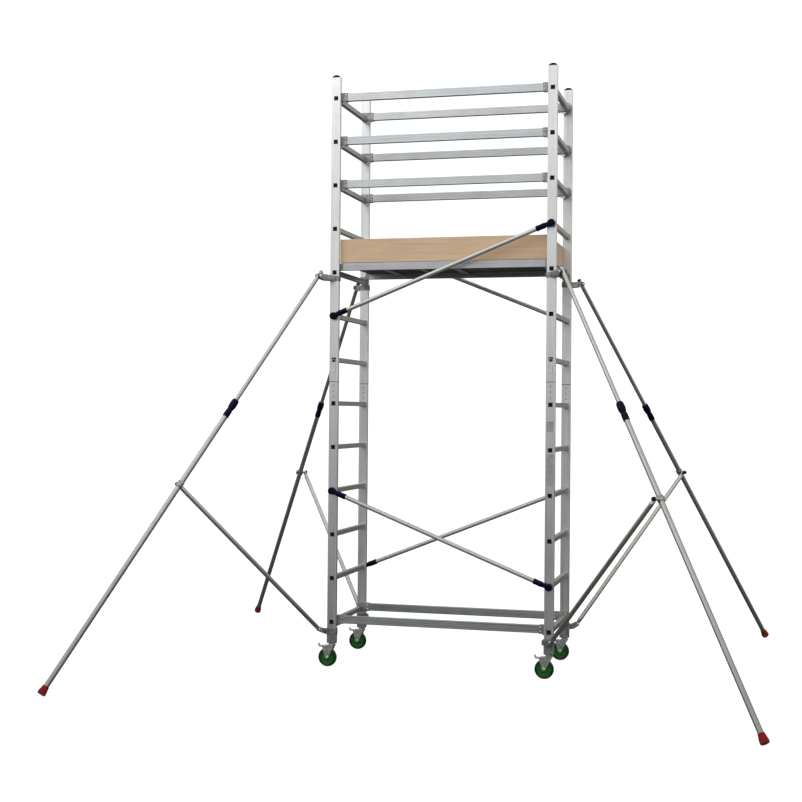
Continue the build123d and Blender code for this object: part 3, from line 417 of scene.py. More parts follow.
GREEN_HUB = moulded("green_hub", (0.011, 0.165, 0.016), rough=0.33, wear=0.12)
TOE_PLY = plywood("toe_plywood", (0.80, 0.575, 0.38))
DECK_PLY = film_ply("film_plywood")
LABEL = label_stock("blank_label_film")


# ---- mesh building

def in_scene(name, data):
    made = bpy.data.objects.new(name, data)
    bpy.context.scene.collection.objects.link(made)
    return made


class Shape:
    """Collects simple solids into one mesh. Every method takes a matrix that places the part."""

    def __init__(self):
        self.mesh = bmesh.new()

    def rings(self, loops, close_start=True, close_end=True):
        """Skins a list of equal closed loops of points, capping the ends."""
        made = [[self.mesh.verts.new(point) for point in loop] for loop in loops]
        count = len(made[0])
        for first, second in zip(made, made[1:]):
            for i in range(count):
                j = (i + 1) % count
                self.mesh.faces.new((first[i], first[j], second[j], second[i]))
        if close_start:
            self.mesh.faces.new(list(reversed(made[0])))
        if close_end:
            self.mesh.faces.new(made[-1])

    def turned(self, profile, place, segments=32, radius_at=None, hollow=False):
        """A turned solid from (height, radius) pairs. Hollow closes the profile on itself."""
        loops = []
        for height, radius in profile + profile[:1] * hollow:
            loop = []
            for i in range(segments):
                angle = 2 * math.pi * i / segments
                reach = radius_at(height, radius, angle) if radius_at else radius
                loop.append(place @ Vector((reach * math.cos(angle), reach * math.sin(angle), height)))
            loops.append(loop)
        self.rings(loops, not hollow, not hollow)

    def block(self, low, high, place=Matrix.Identity(4), shrink=0.0):
        """A box whose top face can be drawn in."""
        (x0, y0, z0), (x1, y1, z1) = low, high
        bottom = [(x0, y0, z0), (x1, y0, z0), (x1, y1, z0), (x0, y1, z0)]
        top = [(x0 + shrink, y0 + shrink, z1), (x1 - shrink, y0 + shrink, z1),
               (x1 - shrink, y1 - shrink, z1), (x0 + shrink, y1 - shrink, z1)]
        self.rings([[place @ Vector(p) for p in bottom], [place @ Vector(p) for p in top]])

    def plate(self, outline, low, high, place=Matrix.Identity(4)):
        """An outline in X and Y, thick from low to high along Z."""
        self.rings([[place @ Vector((x, y, z)) for x, y in outline] for z in (low, high)])

    def round_loop(self, points, sizes, segments):
        """A round bar along points that closes on itself, with a radius for each point."""
        points = [Vector(p) for p in points]
        loops = []
        side = None
        for i, (point, size) in enumerate(zip(points, sizes)):
            after = points[(i + 1) % len(points)]
            along = (after - points[i - 1]).normalized()
            side = (along.orthogonal() if side is None else side - along * side.dot(along)).normalized()
            other = along.cross(side)
            loops.append([point + size * (math.cos(a) * side + math.sin(a) * other)
                          for a in (2 * math.pi * k / segments for k in range(segments))])
        self.rings(loops + loops[:1], False, False)

    def piece(self, name, material, body, replaces=(), bevel=0.0, sharp=38.0):
        """Ends the shape: one object, shaded, bevelled, riding on its body."""
        bmesh.ops.remove_doubles(self.mesh, verts=self.mesh.verts, dist=1e-6)
        bmesh.ops.recalc_face_normals(self.mesh, faces=self.mesh.faces)
        data = bpy.data.meshes.new(name)
        self.mesh.to_mesh(data)
        self.mesh.free()
        data.polygons.foreach_set("use_smooth", [True] * len(data.polygons))
        data.set_sharp_from_angle(angle=math.radians(sharp))
        made = in_scene(name, data)
        data.materials.append(material)
        if bevel:
            add_bevel(made, bevel)
        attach(made, body)
        if replaces:
            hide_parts(*replaces)


def add_bevel(target, width, weld=False):
    """Softens hard edges. A weld first joins the split faces of a CAD mesh."""
    if weld:
        target.modifiers.new("weld", "WELD").merge_threshold = 1e-5
    bevel = target.modifiers.new("bevel", "BEVEL")
    bevel.width = width
    bevel.segments = 2
    bevel.limit_method = "ANGLE"
    bevel.angle_limit = math.radians(40)
    bevel.harden_normals = True


def axes_at(origin, z_axis, x_hint=(1, 0, 0)):
    """A placing matrix whose Z is one direction and whose X is near a hint."""
    z_axis = Vector(z_axis).normalized()
    x_axis = (Vector(x_hint) - z_axis * z_axis.dot(Vector(x_hint))).normalized()
    turn = Matrix((x_axis, z_axis.cross(x_axis), z_axis)).transposed().to_4x4()
    return Matrix.Translation(origin) @ turn


def post_centres():
    return [Vector((sx * POST_X, sy * POST_Y, 0)) for sx, sy in CORNERS.values()]


def hexagon(across):
    corner = across / math.sqrt(3)
    angles = [math.radians(60 * i) for i in range(6)]
    return [(corner * math.cos(angle), corner * math.sin(angle)) for angle in angles]


WASHER = 0.0014           # washer thickness


def hex_bolt(shape, start, end, across, head, washer=True):
    """A bolt between two faces: at each end a washer if wanted, a hexagon and a short tip."""
    axis = Vector(end) - Vector(start)
    for origin, way in ((Vector(start), -axis), (Vector(end), axis)):
        place = axes_at(origin, way, UP if abs(way.normalized().z) < 0.9 else (1, 0, 0))
        base = 0.0
        if washer:
            shape.turned([(0.0, across * 0.78), (WASHER, across * 0.78)], place, 28)
            base = WASHER
        shape.plate(hexagon(across), base, base + head * 0.8, place)
        shape.turned([(base + head * 0.8, across * 0.49), (base + head, across * 0.40)], place, 24)
        shape.turned([(base + head, across * 0.28), (base + head + 0.002, across * 0.26)], place, 20)


# ---- finish CAD nodes

def finish_cad_nodes():
    """Materials and softened edges for the CAD parts that stay."""
    finishes = {
        "frame_rails": (POST_METAL, 0.0), "frame_rungs": (RUNG_METAL, 0.0),
        "guard_rails": (BAR_METAL, 0.0004), "base_bars": (BAR_METAL, 0.0004),
        "bar_claws": (CAST_METAL, 0.0012), "bar_latches": (ZINC, 0.0006),
        "diagonal_braces": (BRACE_METAL, 0.0), "rail_caps": (BLACK_PLASTIC, 0.0012),
        "rail_spigots": (POST_METAL, 0.0), "frame_locking_pins": (ZINC, 0.0004),
        "platform_side_beams": (BEAM_METAL, 0.0005), "platform_cross_members": (BEAM_METAL, 0.0006),
        "platform_board": (DECK_PLY, 0.0006), "platform_hooks": (CAST_METAL, 0.0014),
        "toe_boards": (TOE_PLY, 0.0012), "castor_stems": (STEM_METAL, 0.0008),
        "top_brackets": (CAST_METAL, 0.0012), "lower_brackets": (STEM_METAL, 0.0012),
        "trapdoor_panel": (DECK_PLY, 0.0006), "trapdoor_hinges": (ZINC, 0.0003),
    }
    for name in CORNERS:
        finishes["leg_inner_" + name] = (LEG_METAL[name], 0.0)
        finishes["leg_outer_" + name] = (LEG_METAL[name], 0.0)
        finishes["castor_fork_" + name] = (ZINC, 0.0006)
        finishes["brake_pedal_" + name] = (ZINC, 0.0006)
    for node, (material, width) in finishes.items():
        target = frame["nodes"][node]
        target.data.materials.clear()
        target.data.materials.append(material)
        if width:
            add_bevel(target, width, weld=True)


# ---- the frame

PLUG_PLAY = 0.0016        # rung wall and play round a plug
PLUG_DEPTH = 0.010        # how far a plug goes in behind the rail face
WELD_RIPPLES = 56         # points round a weld bead


def make_rung_plugs():
    """Square push-in plugs with a raised rim and a dished middle."""
    shape = Shape()
    half = RUNG / 2 - PLUG_PLAY
    for side, face, height in product(BOTH, BOTH, RUNGS):
        seat = (side * POST_X, face * (FACE_Y - PLUG_DEPTH), height)
        place = axes_at(seat, (0, face, 0))
        steps = [(half, 0.0), (half, 0.0100), (half - 0.0012, 0.0112), (half - 0.0036, 0.0112),
                 (half - 0.0052, 0.0098), (half - 0.0090, 0.0094)]
        shape.rings([[place @ Vector((x * size, y * size, depth))
                      for x, y in ((-1, -1), (1, -1), (1, 1), (-1, 1))] for size, depth in steps])
    shape.piece("rung_end_plugs", BLACK_PLASTIC, "tower", ["rung_plugs"], bevel=0.0005)


def make_rung_welds():
    """A rippled fillet bead round each rung where it leaves the inner face of a rail."""
    shape = Shape()
    corner = RUNG / 2 + 0.0006
    for side, face, height in product(BOTH, BOTH, RUNGS):
        inner = face * (FACE_Y - RAIL_Y - 0.0004)
        points = []
        for i in range(WELD_RIPPLES):
            angle = 2 * math.pi * i / WELD_RIPPLES
            reach = corner / max(abs(math.cos(angle)), abs(math.sin(angle)))
            reach = min(reach, corner * 1.28)
            points.append((side * POST_X + reach * math.cos(angle), inner,
                           height + reach * math.sin(angle)))
        sizes = [0.0026 + 0.0006 * (i % 2) + random.uniform(-0.0003, 0.0003)
                 for i in range(WELD_RIPPLES)]
        shape.round_loop(points, sizes, 6)
    shape.piece("rung_weld_beads", WELD_METAL, "tower")


GAP_SHADOW_RISE = 0.024         # painted shadow line of the joint's gap, this far over the top rivet
GAP_SHADOW_HALF = 0.0016


def make_splice_details():
    """Domed rivets on both faces of each splice, and a black band round each rail there that paints the
    shadow in the joint's gap.
    """
    rivet_low, rivet_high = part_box("splice_rivets")
    radius = 0.0045
    count = 3
    spread = rivet_high.z - rivet_low.z - 2 * radius
    heights = [rivet_low.z + radius + i * spread / (count - 1) for i in range(count)]
    shape = Shape()
    for post in post_centres():
        for height in heights:
            for face in BOTH:
                place = axes_at(post + Vector((0, face * RAIL_Y / 2, height)), (0, face, 0))
                shape.turned([(-0.001, radius), (0.0006, radius), (0.0016, radius * 0.82),
                              (0.0024, radius * 0.5), (0.0027, radius * 0.15)], place, 20)
    shape.piece("splice_rivet_heads", STEM_METAL, "tower", ["splice_rivets"])
    # painted shadow: thin black bands round each rail, standing in for the shade in the gap where the rails
    # meet
    gap_shadow = Shape()
    middle = heights[-1] + GAP_SHADOW_RISE
    z0, z1 = middle - GAP_SHADOW_HALF, middle + GAP_SHADOW_HALF
    for post in post_centres():
        for way in BOTH:
            face = post + Vector((0, way * RAIL_Y / 2, 0))
            gap_shadow.block((face.x - RAIL_X / 2 - FLUSH, face.y - FLUSH, z0),
                       (face.x + RAIL_X / 2 + FLUSH, face.y + FLUSH, z1))
            edge = post + Vector((way * RAIL_X / 2, 0, 0))
            gap_shadow.block((edge.x - FLUSH, edge.y - RAIL_Y / 2, z0), (edge.x + FLUSH, edge.y + RAIL_Y / 2, z1))
    gap_shadow.piece("splice_gap_shadows", BLACK_PLASTIC, "tower")


LABEL_HALF = 0.021        # half a label's width


def make_labels():
    """Two blank weathered labels on the outer face of the right front post."""
    shape = Shape()
    y = -FACE_Y - FLUSH
    for bottom, top in ((RUNGS[3] + 0.060, RUNGS[4] - 0.024), (RUNGS[4] + 0.112, RUNGS[4] + 0.176)):
        shape.block((POST_X - LABEL_HALF, y - 0.0002, bottom), (POST_X + LABEL_HALF, y + FLUSH, top))
    shape.piece("blank_post_labels", LABEL, "tower")


# ---- the bars

CLAW_WIDTH = 0.036
CLAW_RIVET = [(-0.0005, 0.0042), (0.0008, 0.0042), (0.0018, 0.0031), (0.0022, 0.001)]
CLAW_RIVET_INSET = 0.0055     # from the end of the bar
CLAW_RIVET_LIFTS = (0.0, 0.024)
BAR_RUNGS = (0, 10, 11, 12)


def make_bar_details():
    """Rivets that fix each claw to its bar, on both sides."""
    _, claw_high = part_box("bar_claws")
    _, bar_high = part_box("guard_rails")
    shape = Shape()
    line_y = claw_high.y - CLAW_WIDTH / 2
    rivet_x = bar_high.x - CLAW_RIVET_INSET
    for number, side, end, face, lift in product(BAR_RUNGS, BOTH, BOTH, BOTH, CLAW_RIVET_LIFTS):
        y = side * line_y + face * CLAW_WIDTH / 2
        place = axes_at((end * rivet_x, y, RUNGS[number] + lift), (0, face, 0))
        shape.turned(CLAW_RIVET, place, 16)
    shape.piece("claw_rivets", ZINC, "tower")


# ---- the braces

BRACE_R = 0.014
BRACE_RUNGS = ((-1, 7, 9), (-1, 3, 1), (1, 9, 7), (1, 1, 3))    # side, rung at the left, rung at the right


def brace_lines():
    """Start point and direction into the brace, for each end of the four braces."""
    _, brace_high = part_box("diagonal_braces")
    line_y = brace_high.y - BRACE_R
    for side, left, right in BRACE_RUNGS:
        start = Vector((-POST_X, side * line_y, RUNGS[left]))
        end = Vector((POST_X, side * line_y, RUNGS[right]))
        along = (end - start).normalized()
        yield side, start, along
        yield side, end, -along


def make_brace_claws():
    """Navy plastic brace ends: a dished round head, a webbed neck and a ribbed socket barrel."""
    shape = Shape()
    pins = Shape()
    for side, eye, along in brace_lines():
        face = Vector((eye.x, side * FACE_Y, eye.z))
        depth = abs(eye.y - face.y)
        head = axes_at(face, (0, side, 0), along)
        top = depth + 0.015
        shape.turned([(0.0, 0.0215), (0.002, 0.0230), (top - 0.006, 0.0230), (top - 0.002, 0.0212),
                      (top, 0.0180), (top, 0.0120), (top - 0.004, 0.0105), (top - 0.0042, 0.0040)], head, 40)
        pins.turned([(top - 0.005, 0.0062), (top - 0.001, 0.0062), (top + 0.0008, 0.0040),
                     (top + 0.0012, 0.0010)], head, 24)
        barrel = axes_at(eye, along, (0, side, 0))
        neck = []
        for step in range(9):
            share = step / 8
            reach = 0.012 + 0.036 * share
            waist = 1.0 - 0.22 * math.sin(math.pi * share)
            half_wide = 0.0185 * waist
            half_deep = 0.0150 * waist
            neck.append([barrel @ Vector((half_deep * c, half_wide * s, reach)) for c, s in
                         ((math.copysign(abs(math.cos(a)) ** 0.6, math.cos(a)),
                           math.copysign(abs(math.sin(a)) ** 0.6, math.sin(a)))
                          for a in (2 * math.pi * k / 24 for k in range(24)))])
        shape.rings(neck)
        shape.turned([(0.044, 0.0140), (0.047, 0.0172), (0.055, 0.0180), (0.062, 0.0180), (0.0635, 0.0168),
                      (0.0665, 0.0168), (0.068, 0.0180), (0.074, 0.0180), (0.0755, 0.0168), (0.0785, 0.0168),
                      (0.080, 0.0180), (0.096, 0.0180), (0.1005, 0.0172), (0.101, 0.0142), (0.060, 0.0142),
                      (0.060, 0.0040)], barrel, 36)
        shape.block((0.0165, -0.0055, 0.018), (0.0200, 0.0055, 0.050), barrel, shrink=0.001)
    shape.piece("brace_end_claws", BLUE_PLASTIC, "tower", ["brace_claws"], bevel=0.0005)
    pins.piece("brace_claw_pins", BLACK_PLASTIC, "tower")


# ---- the platform

BEAM_RIVET = [(-0.0005, 0.0040), (0.0007, 0.0040), (0.0016, 0.0028), (0.0019, 0.001)]
BEAM_RIVETS = 7
BEAM_RIVET_PITCH = 0.19
TOE_THICK = 0.015
ANGLE_LEG = 0.035         # toe-board angles: leg, thickness, and how far they stop short of the board
ANGLE_THICK = 0.002
ANGLE_SHORT = 0.02
ANGLE_SCREW = [(-0.0003, 0.0045), (0.0006, 0.0045), (0.0016, 0.003), (0.0019, 0.001)]
SCREW_IN = 0.020          # screws from the inner corner and from the ends of the angle
FINGER_HOLE_IN = 0.058    # finger hole's centre from the edge of the trapdoor


def make_platform_details():
    """Rivets along the side beams, angle clips and screws for the toe boards, and a finger ring."""
    _, beam_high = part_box("platform_side_beams")
    toe_low, toe_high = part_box("toe_boards")
    rivets = Shape()
    clips = Shape()
    for side in BOTH:
        for i in range(BEAM_RIVETS):
            x = (i - BEAM_RIVETS // 2) * BEAM_RIVET_PITCH
            place = axes_at((x, side * beam_high.y, beam_high.z - 0.010), (0, side, 0))
            rivets.turned(BEAM_RIVET, place, 14)
        for end in BOTH:
            inner_x = end * (toe_high.x - TOE_THICK)
            inner_y = side * (toe_high.y - TOE_THICK)
            low_z = toe_low.z + ANGLE_SHORT
            high_z = toe_high.z - ANGLE_SHORT
            for reach_x, reach_y, way in ((ANGLE_LEG, ANGLE_THICK, (0, -side, 0)),
                                          (ANGLE_THICK, ANGLE_LEG, (-end, 0, 0))):
                x0, x1 = sorted((inner_x, inner_x - end * reach_x))
                y0, y1 = sorted((inner_y, inner_y - side * reach_y))
                clips.block((x0, y0, low_z), (x1, y1, high_z))
                for height in (low_z + SCREW_IN, high_z - SCREW_IN):
                    spot = (inner_x - end * min(reach_x, SCREW_IN),
                            inner_y - side * min(reach_y, SCREW_IN), height)
                    rivets.turned(ANGLE_SCREW, axes_at(spot, way, UP), 14)
    rivets.piece("platform_rivets", ZINC, "tower")
    clips.piece("toe_board_angles", BAR_METAL, "tower", bevel=0.0006)
    _, door_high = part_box("trapdoor_panel")
    ring = Shape()
    top = axes_at((door_high.x - FINGER_HOLE_IN, 0, door_high.z), UP)
    ring.turned([(-0.012, 0.0146), (-0.012, 0.0130), (0.0002, 0.0130), (0.0014, 0.0145), (0.0014, 0.0175),
                 (0.0002, 0.0190), (0.0, 0.0146)], top, 36, hollow=True)
    ring.piece("trapdoor_finger_ring", BLACK_PLASTIC, "trapdoor")


# ---- the castors

HUB_BORE = 0.0064
HUB_RIBS = 8
PAD_PITCH = 0.007         # grip bars on the brake pedal
PAD_HALF = 0.0115


def make_wheel(name):
    """Tyre with a crowned tread and side grooves; hub with a web, ribs and bearing covers."""
    axle = place_of("wheel_spin_" + name)
    low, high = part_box("castor_wheel_" + name)
    radius = (high.z - low.z) / 2
    half = (high.y - low.y) / 2
    place = axes_at(axle, (0, 1, 0))
    rim = radius * 0.70
    tread = [(-half, rim), (-half, radius * 0.84), (-half + 0.0012, radius * 0.855), (-half, radius * 0.87),
             (-half + 0.001, radius * 0.93), (-half + 0.0045, radius * 0.985), (-half + 0.009, radius)]
    profile = tread + [(-h, r) for h, r in reversed(tread)]
    tyre = Shape()
    tyre.turned(profile, place, 72, hollow=True)
    tyre.piece("tyre_" + name, GREEN_RUBBER, "wheel_" + name, ["castor_wheel_" + name],
               sharp=50)
    hub = Shape()
    face = [(half - 0.001, rim), (half - 0.001, rim - 0.004), (half - 0.006, rim - 0.006),
            (half - 0.007, 0.021), (half - 0.003, 0.018), (half + 0.0015, 0.0165), (half + 0.0015, 0.0120),
            (half - 0.001, 0.0110)]
    bore = [(-half + 0.001, HUB_BORE), (half - 0.001, HUB_BORE)]
    profile = [(-h, r) for h, r in face] + bore + list(reversed(face))
    hub.turned(list(reversed(profile)), place, 72, hollow=True)
    for i in range(HUB_RIBS):
        spoke = place @ Matrix.Rotation(2 * math.pi * i / HUB_RIBS, 4, "Z")
        for way in BOTH:
            z0, z1 = sorted((way * (half - 0.0075), way * (half - 0.0030)))
            hub.block((0.0185, -0.0016, z0), (rim - 0.005, 0.0016, z1), spoke)
    hub.piece("wheel_hub_" + name, GREEN_HUB, "wheel_" + name, bevel=0.0004)
    cover = Shape()
    for way in BOTH:
        outside = axes_at(axle + Vector((0, way * (half + 0.0012), 0)), (0, way, 0))
        cover.turned([(0.0, 0.0112), (0.0, HUB_BORE), (0.0014, HUB_BORE), (0.0018, 0.0090), (0.0010, 0.0112)],
                     outside, 32, hollow=True)
    cover.piece("bearing_cover_" + name, ZINC, "wheel_" + name)


def make_castor_details():
    """Swivel race under each stem, wheels and pedal tread pads."""
    races = Shape()
    for name in CORNERS:
        swivel = place_of("castor_swivel_" + name)
        _, fork_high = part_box("castor_fork_" + name)
        base = Vector((swivel.x, swivel.y, fork_high.z))
        races.turned([(0.0007, 0.0225), (0.0030, 0.0245), (0.0055, 0.0245), (0.0080, 0.0215),
                      (0.0080, 0.0195)], axes_at(base, UP), 40)
        make_wheel(name)
        pad = Shape()
        low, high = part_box("brake_pedal_" + name)
        for i in range(3):
            x = low.x + 0.0105 + i * PAD_PITCH
            pad.block((x, swivel.y - PAD_HALF, high.z - 0.0134),
                      (x + PAD_PITCH / 2, swivel.y + PAD_HALF, high.z - 0.0112), shrink=0.0006)
        pad.piece("pedal_grip_" + name, ZINC, "pedal_" + name)
    races.piece("swivel_races", ZINC, "tower")


# ---- the stabilisers

FLUTED_OVER = 0.0186      # the grip's flutes cut only what is wider than this


def make_twist_lock(name):
    """Navy twist grip: a fluted bulb above, a waist, and a ringed collar on the wider tube."""
    joint = JOINTS["lock_twist_" + name]
    centre = Vector(joint["pos_m"])
    along = Vector(joint["axis"])
    place = axes_at(centre, along, UP)
    shape = Shape()
    grip_low, grip_high = -0.061, 0.001

    def fluted(height, radius, angle):
        if radius <= FLUTED_OVER:
            return radius
        share = min(1.0, max(0.0, (height - grip_low) / (grip_high - grip_low)))
        return radius - 0.0016 * math.sin(math.pi * share) * (0.5 + 0.5 * math.cos(12 * angle))

    inner_top = 0.0134
    inner_low = 0.0164
    profile = [(-0.063, inner_top), (-0.063, 0.0175)]
    steps = 12
    for i in range(steps + 1):
        share = i / steps
        profile.append((grip_low + (grip_high - grip_low) * share,
                        0.0195 + 0.0040 * math.sin(math.pi * share) ** 0.6))
    profile += [(0.005, 0.0182), (0.010, 0.0178), (0.017, 0.0180), (0.021, 0.0196), (0.028, 0.0200),
                (0.030, 0.0190), (0.033, 0.0190), (0.035, 0.0200), (0.044, 0.0200), (0.046, 0.0190),
                (0.049, 0.0190), (0.051, 0.0200), (0.060, 0.0198), (0.063, 0.0180), (0.063, inner_low),
                (0.0125, inner_low), (0.0120, inner_top)]
    shape.turned(profile, place, 72, radius_at=fluted, hollow=True)
    shape.piece("twist_grip_" + name, BLUE_PLASTIC, "twist_lock_" + name, ["twist_lock_" + name],
                sharp=50)


FOOT_RADIUS = 0.0255
FOOT_ROUND = 0.009        # round edge of the tread


def make_foot(name):
    """Short flared red rubber boot: rolled top lip, side ribs and a grooved tread."""
    pivot = place_of("leg_fold_" + name)
    along = LEG_DIRECTIONS[name]
    lean = math.sqrt(1 - along.z ** 2)
    length = (pivot.z - FOOT_ROUND - (FOOT_RADIUS - FOOT_ROUND) * lean) / -along.z
    place = axes_at(pivot + along * length, along, UP)
    shape = Shape()

    def ribbed(height, radius, angle):
        return radius - (0.0009 * (0.5 + 0.5 * math.cos(16 * angle)) if -0.036 < height < -0.012 else 0.0)

    lip = -0.047
    profile = [(lip + 0.004, 0.0162), (lip, 0.0163), (lip, 0.0180), (lip + 0.0015, 0.0194),
               (lip + 0.005, 0.0196), (lip + 0.007, 0.0190), (-0.036, 0.0205), (-0.026, 0.0224),
               (-0.018, 0.0242), (-0.012, 0.0250), (-0.009, 0.0254), (-0.004, FOOT_RADIUS)]
    arc = 8
    for i in range(arc + 1):
        angle = math.pi / 2 * i / arc
        profile.append((FOOT_ROUND * math.sin(angle), FOOT_RADIUS - FOOT_ROUND * (1 - math.cos(angle))))
    for ring in (0.0135, 0.0085):
        profile += [(FOOT_ROUND, ring + 0.001), (FOOT_ROUND - 0.0012, ring),
                    (FOOT_ROUND - 0.0012, ring - 0.0015), (FOOT_ROUND, ring - 0.0025)]
    profile.append((FOOT_ROUND, 0.001))
    shape.turned(profile, place, 64, radius_at=ribbed)
    shape.piece("foot_boot_" + name, RED_RUBBER, "leg_outer_" + name, ["foot_" + name],
                sharp=55)


def leg_frame(name):
    """Pivot, direction down the leg, and the strut's side of the leg."""
    pivot = place_of("leg_fold_" + name)
    along = LEG_DIRECTIONS[name]
    outward = Vector((along.x, along.y, 0)).normalized()
    return pivot, along, outward.cross(UP)


STRUT_R = 0.014
STRUT_TAB = 0.0040        # half the thickness of a strut's flat end
STRUT_SIDE = 0.0042       # where the spacer and knob start, beside the flat end


def make_strut(name):
    """Round strut with pressed flat ends, its spacer and a lobed hand knob."""
    pivot, _, aside = leg_frame(name)
    low = place_of("strut_fold_" + name)
    clamp_low, clamp_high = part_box("strut_clamp_" + name)
    clamp = (clamp_low + clamp_high) / 2
    offset = (low - pivot).dot(aside)
    high = clamp + aside * offset
    run = high - low
    length = run.length
    place = axes_at(low, run, aside)
    loops = []
    stations = [(-0.013, 1.0, 0.35), (-0.0105, 1.0, 0.62), (-0.004, 1.0, 0.96), (0.004, 1.0, 1.0),
                (0.020, 1.0, 1.0), (0.027, 0.85, 1.0), (0.035, 0.35, 1.0), (0.044, 0.0, 1.0)]
    stations += [(length - at, flat, wide) for at, flat, wide in reversed(stations)]
    for at, flat, wide in stations:
        deep = STRUT_R + (STRUT_TAB - STRUT_R) * flat
        broad = (STRUT_R - 0.001 * flat) * wide
        power = 1.0 - 0.6 * flat
        loop = []
        for k in range(36):
            angle = 2 * math.pi * k / 36
            c, s = math.cos(angle), math.sin(angle)
            loop.append(place @ Vector((deep * math.copysign(abs(c) ** power, c),
                                        broad * math.copysign(abs(s) ** power, s), at)))
        loops.append(loop)
    tube = Shape()
    tube.rings(loops)
    tube.piece("strut_tube_" + name, STRUT_METAL[name], "strut_" + name, ["strut_" + name],
               sharp=60)
    spacer = Shape()
    inward = axes_at(high - aside * STRUT_SIDE, -aside, run)
    spacer.turned([(0.0, 0.0100), (0.0006, 0.0105), (0.0101, 0.0105), (0.0107, 0.0100)], inward, 28)
    spacer.piece("strut_spacer_" + name, ZINC, "strut_" + name)
    knob = Shape()
    outside = axes_at(high + aside * STRUT_SIDE, aside, run)
    knob.turned([(0.0, 0.0072), (0.0032, 0.0072), (0.0040, 0.0120), (0.0056, 0.0133), (0.0116, 0.0135),
                 (0.0142, 0.0124), (0.0156, 0.0088), (0.0158, 0.0040), (0.0148, 0.0028)], outside, 60,
                radius_at=lambda h, r, a: r - (0.0016 * (0.5 + 0.5 * math.cos(6 * a)) if r > 0.010 else 0.0))
    knob.piece("strut_knob_" + name, BLACK_PLASTIC, "strut_" + name, sharp=50)


def make_clamp(name):
    """Cast collar on the lower tube, with two lugs and two pinch bolts away from the strut."""
    _, along, aside = leg_frame(name)
    low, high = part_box("strut_clamp_" + name)
    centre = (low + high) / 2
    place = axes_at(centre, along, -aside)
    shape = Shape()
    shape.turned([(-0.019, 0.0163), (-0.019, 0.0190), (-0.017, 0.0205), (-0.010, 0.0205), (-0.0085, 0.0197),
                  (0.0085, 0.0197), (0.010, 0.0205), (0.017, 0.0205), (0.019, 0.0190), (0.019, 0.0163)],
                 place, 48, hollow=True)
    for way in BOTH:
        y0, y1 = sorted((way * 0.0015, way * 0.0050))
        shape.block((0.0185, y0, -0.016), (0.0310, y1, 0.016), place)
    shape.piece("strut_collar_" + name, CAST_METAL, "leg_outer_" + name, ["strut_clamp_" + name],
                bevel=0.0007)
    bolts = Shape()
    for at in (-0.008, 0.008):
        start = place @ Vector((0.026, -0.0050, at))
        end = place @ Vector((0.026, 0.0050, at))
        hex_bolt(bolts, start, end, 0.0080, 0.0040, washer=False)
    bolts.piece("collar_bolts_" + name, ZINC, "leg_outer_" + name)


LEG_HEAD = 0.030          # leg over its top pivot
PIVOT_REACH = 0.0195      # bushes from the middle of the pivot
BUSH = 0.0042             # bush thickness
EAR_REACH = 0.0105        # outside of the ears at a strut's low pivot


def make_leg_details(name):
    """Domed plug in the top of the leg."""
    pivot, along, aside = leg_frame(name)
    place = axes_at(pivot - along * LEG_HEAD, -along, aside)
    plug = Shape()
    plug.turned([(-0.012, 0.0104), (0.0, 0.0104), (0.0002, 0.0130), (0.0030, 0.0130), (0.0060, 0.0112),
                 (0.0074, 0.0068), (0.0076, 0.0015)], place, 32)
    plug.piece("leg_top_plug_" + name, BLACK_PLASTIC, "leg_inner_" + name)


def make_bracket_bolts():
    """Hex bolts through the bracket ears, and black bushes beside each leg's top pivot."""
    bolts = Shape()
    bushes = Shape()
    for name in CORNERS:
        pivot, _, aside = leg_frame(name)
        for way in BOTH:
            place = axes_at(pivot + aside * way * PIVOT_REACH, aside * way, UP)
            bushes.turned([(0.0, 0.0130), (0.0, 0.0142), (0.0030, 0.0142), (BUSH, 0.0130), (BUSH, 0.0050)],
                          place, 32)
        reach = PIVOT_REACH + BUSH
        hex_bolt(bolts, pivot - aside * reach, pivot + aside * reach, 0.0130, 0.0055)
        low = place_of("strut_fold_" + name)
        hex_bolt(bolts, low - aside * EAR_REACH, low + aside * EAR_REACH, 0.0120, 0.0050)
    bolts.piece("bracket_hex_bolts", ZINC, "tower", ["bracket_bolts"])
    bushes.piece("pivot_bushes", BLACK_PLASTIC, "tower")


# ---- camera and light

# Place, turn and lens that look at the tower as the photograph does
CAMERA_PLACE = (1.987, -8.767, 1.635)
CAMERA_TURN = (14.893, 0.459, 0.495)    # yaw, pitch and roll in degrees
CAMERA_LENS = 61.76
SENSOR = 36.0


def make_camera():
    yaw, pitch, roll = (math.radians(angle) for angle in CAMERA_TURN)
    right = Vector((math.cos(yaw), math.sin(yaw), 0))
    ahead = Vector((-math.sin(yaw) * math.cos(pitch), math.cos(yaw) * math.cos(pitch), math.sin(pitch)))
    above = right.cross(ahead)
    x_axis = right * math.cos(roll) + above * math.sin(roll)
    y_axis = above * math.cos(roll) - right * math.sin(roll)
    data = bpy.data.cameras.new("camera")
    data.lens = CAMERA_LENS
    data.sensor_width = SENSOR
    data.clip_end = 200.0
    camera = in_scene("camera", data)
    turn = Matrix((x_axis, y_axis, -ahead)).transposed().to_4x4()
    camera.matrix_world = Matrix.Translation(CAMERA_PLACE) @ turn
    bpy.context.scene.camera = camera


def make_light(name, place, target, size, power):
    data = bpy.data.lights.new(name, "AREA")
    data.shape = "RECTANGLE"
    data.size, data.size_y = size
    data.energy = power
    light = in_scene(name, data)
    light.location = place
    light.rotation_mode = "QUATERNION"
    light.rotation_quaternion = (Vector(target) - Vector(place)).to_track_quat("-Z", "Y")


FLOOR_HALF = 60.0
FLOOR_GLOW = 0.90         # the floor's own light, so that it stays pale far from the lamps
FLOOR_SEEN = (0.30, 0.30, 0.30, 1.0)
FLOOR_BOUNCE = (0.115, 0.115, 0.11, 1.0)
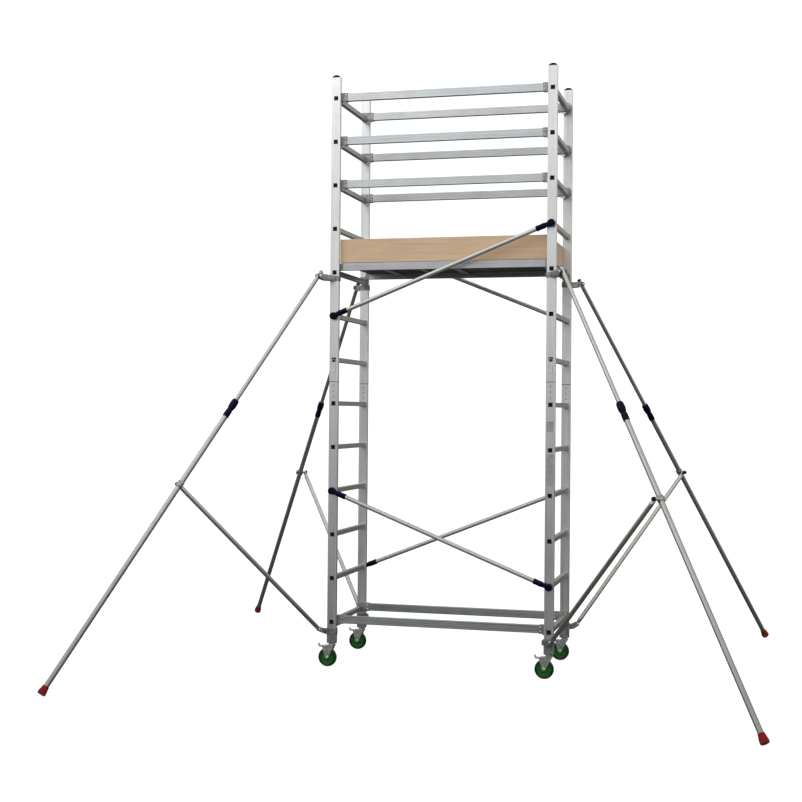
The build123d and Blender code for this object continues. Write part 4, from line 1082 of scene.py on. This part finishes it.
# Brightness of the surround by height: floor line, low, middle, overhead
SURROUND = [(0.0, (0.58, 0.59, 0.60)), (0.18, (0.88, 0.89, 0.89)), (0.5, (0.90, 0.90, 0.90)),
            (1.0, (0.62, 0.62, 0.62))]
SURROUND_STRENGTH = 1.15
BACK_DIM = 0.45           # how bright the surround is behind the tower, against in front


def make_floor():
    """A pale floor. What it bounces back is kept low, so that metal facing down reads dark."""
    mesh = bmesh.new()
    bmesh.ops.create_grid(mesh, x_segments=1, y_segments=1, size=FLOOR_HALF)
    data = bpy.data.meshes.new("floor")
    mesh.to_mesh(data)
    mesh.free()
    floor = in_scene("floor", data)
    material = bpy.data.materials.new("floor_paper")
    graph = empty_graph(material)
    seen = graph.add("LightPath").outputs["Is Camera Ray"]
    matt = graph.add("BsdfDiffuse", {"Color": FLOOR_SEEN}).outputs[0]
    glow = graph.add("Emission", {"Color": (1.0, 1.0, 1.0, 1.0), "Strength": FLOOR_GLOW}).outputs[0]
    pale = graph.add("AddShader", {0: matt, 1: glow}).outputs[0]
    dim = graph.add("BsdfDiffuse", {"Color": FLOOR_BOUNCE}).outputs[0]
    mixed = graph.add("MixShader", {0: seen, 1: dim, 2: pale}).outputs[0]
    output = graph.add("OutputMaterial")
    graph.tree.links.new(mixed, output.inputs[0])
    floor.data.materials.append(material)


def make_surround():
    """A soft studio surround, brightest part of the way up and dimmer overhead and behind."""
    world = bpy.data.worlds.new("surround")
    bpy.context.scene.world = world
    graph = empty_graph(world)
    way = graph.split(graph.add("TexCoord").outputs["Generated"])
    band = graph.ramp(graph.span(way["Z"], 0.0, 1.0), SURROUND)
    facing = graph.span(way["Y"], -0.3, 0.7, 1.0, BACK_DIM)
    tone = graph.mix(1.0, band, graph.grey(facing), blend="MULTIPLY")
    seen = graph.add("LightPath").outputs["Is Camera Ray"]
    tone = graph.mix(seen, tone, (1.0, 1.0, 1.0))
    background = graph.add("Background", {"Color": tone, "Strength": SURROUND_STRENGTH})
    output = graph.add("OutputWorld")
    graph.tree.links.new(background.outputs[0], output.inputs[0])


def make_stage():
    make_floor()
    make_surround()
    make_light("key", (-3.5, -5.0, 8.0), (0, 0, 2.0), (6.0, 6.0), 130.0)
    make_light("top", (1.5, 1.0, 8.5), (0, 0, 2.5), (5.0, 5.0), 110.0)
    bpy.context.scene.view_settings.view_transform = "Standard"
    bpy.context.scene.view_settings.look = "None"


make_camera()
make_stage()
finish_cad_nodes()
make_rung_plugs()
make_rung_welds()
make_splice_details()
make_labels()
make_bar_details()
make_brace_claws()
make_platform_details()
make_castor_details()
for corner in CORNERS:
    make_twist_lock(corner)
    make_foot(corner)
    make_strut(corner)
    make_clamp(corner)
    make_leg_details(corner)
make_bracket_bolts()
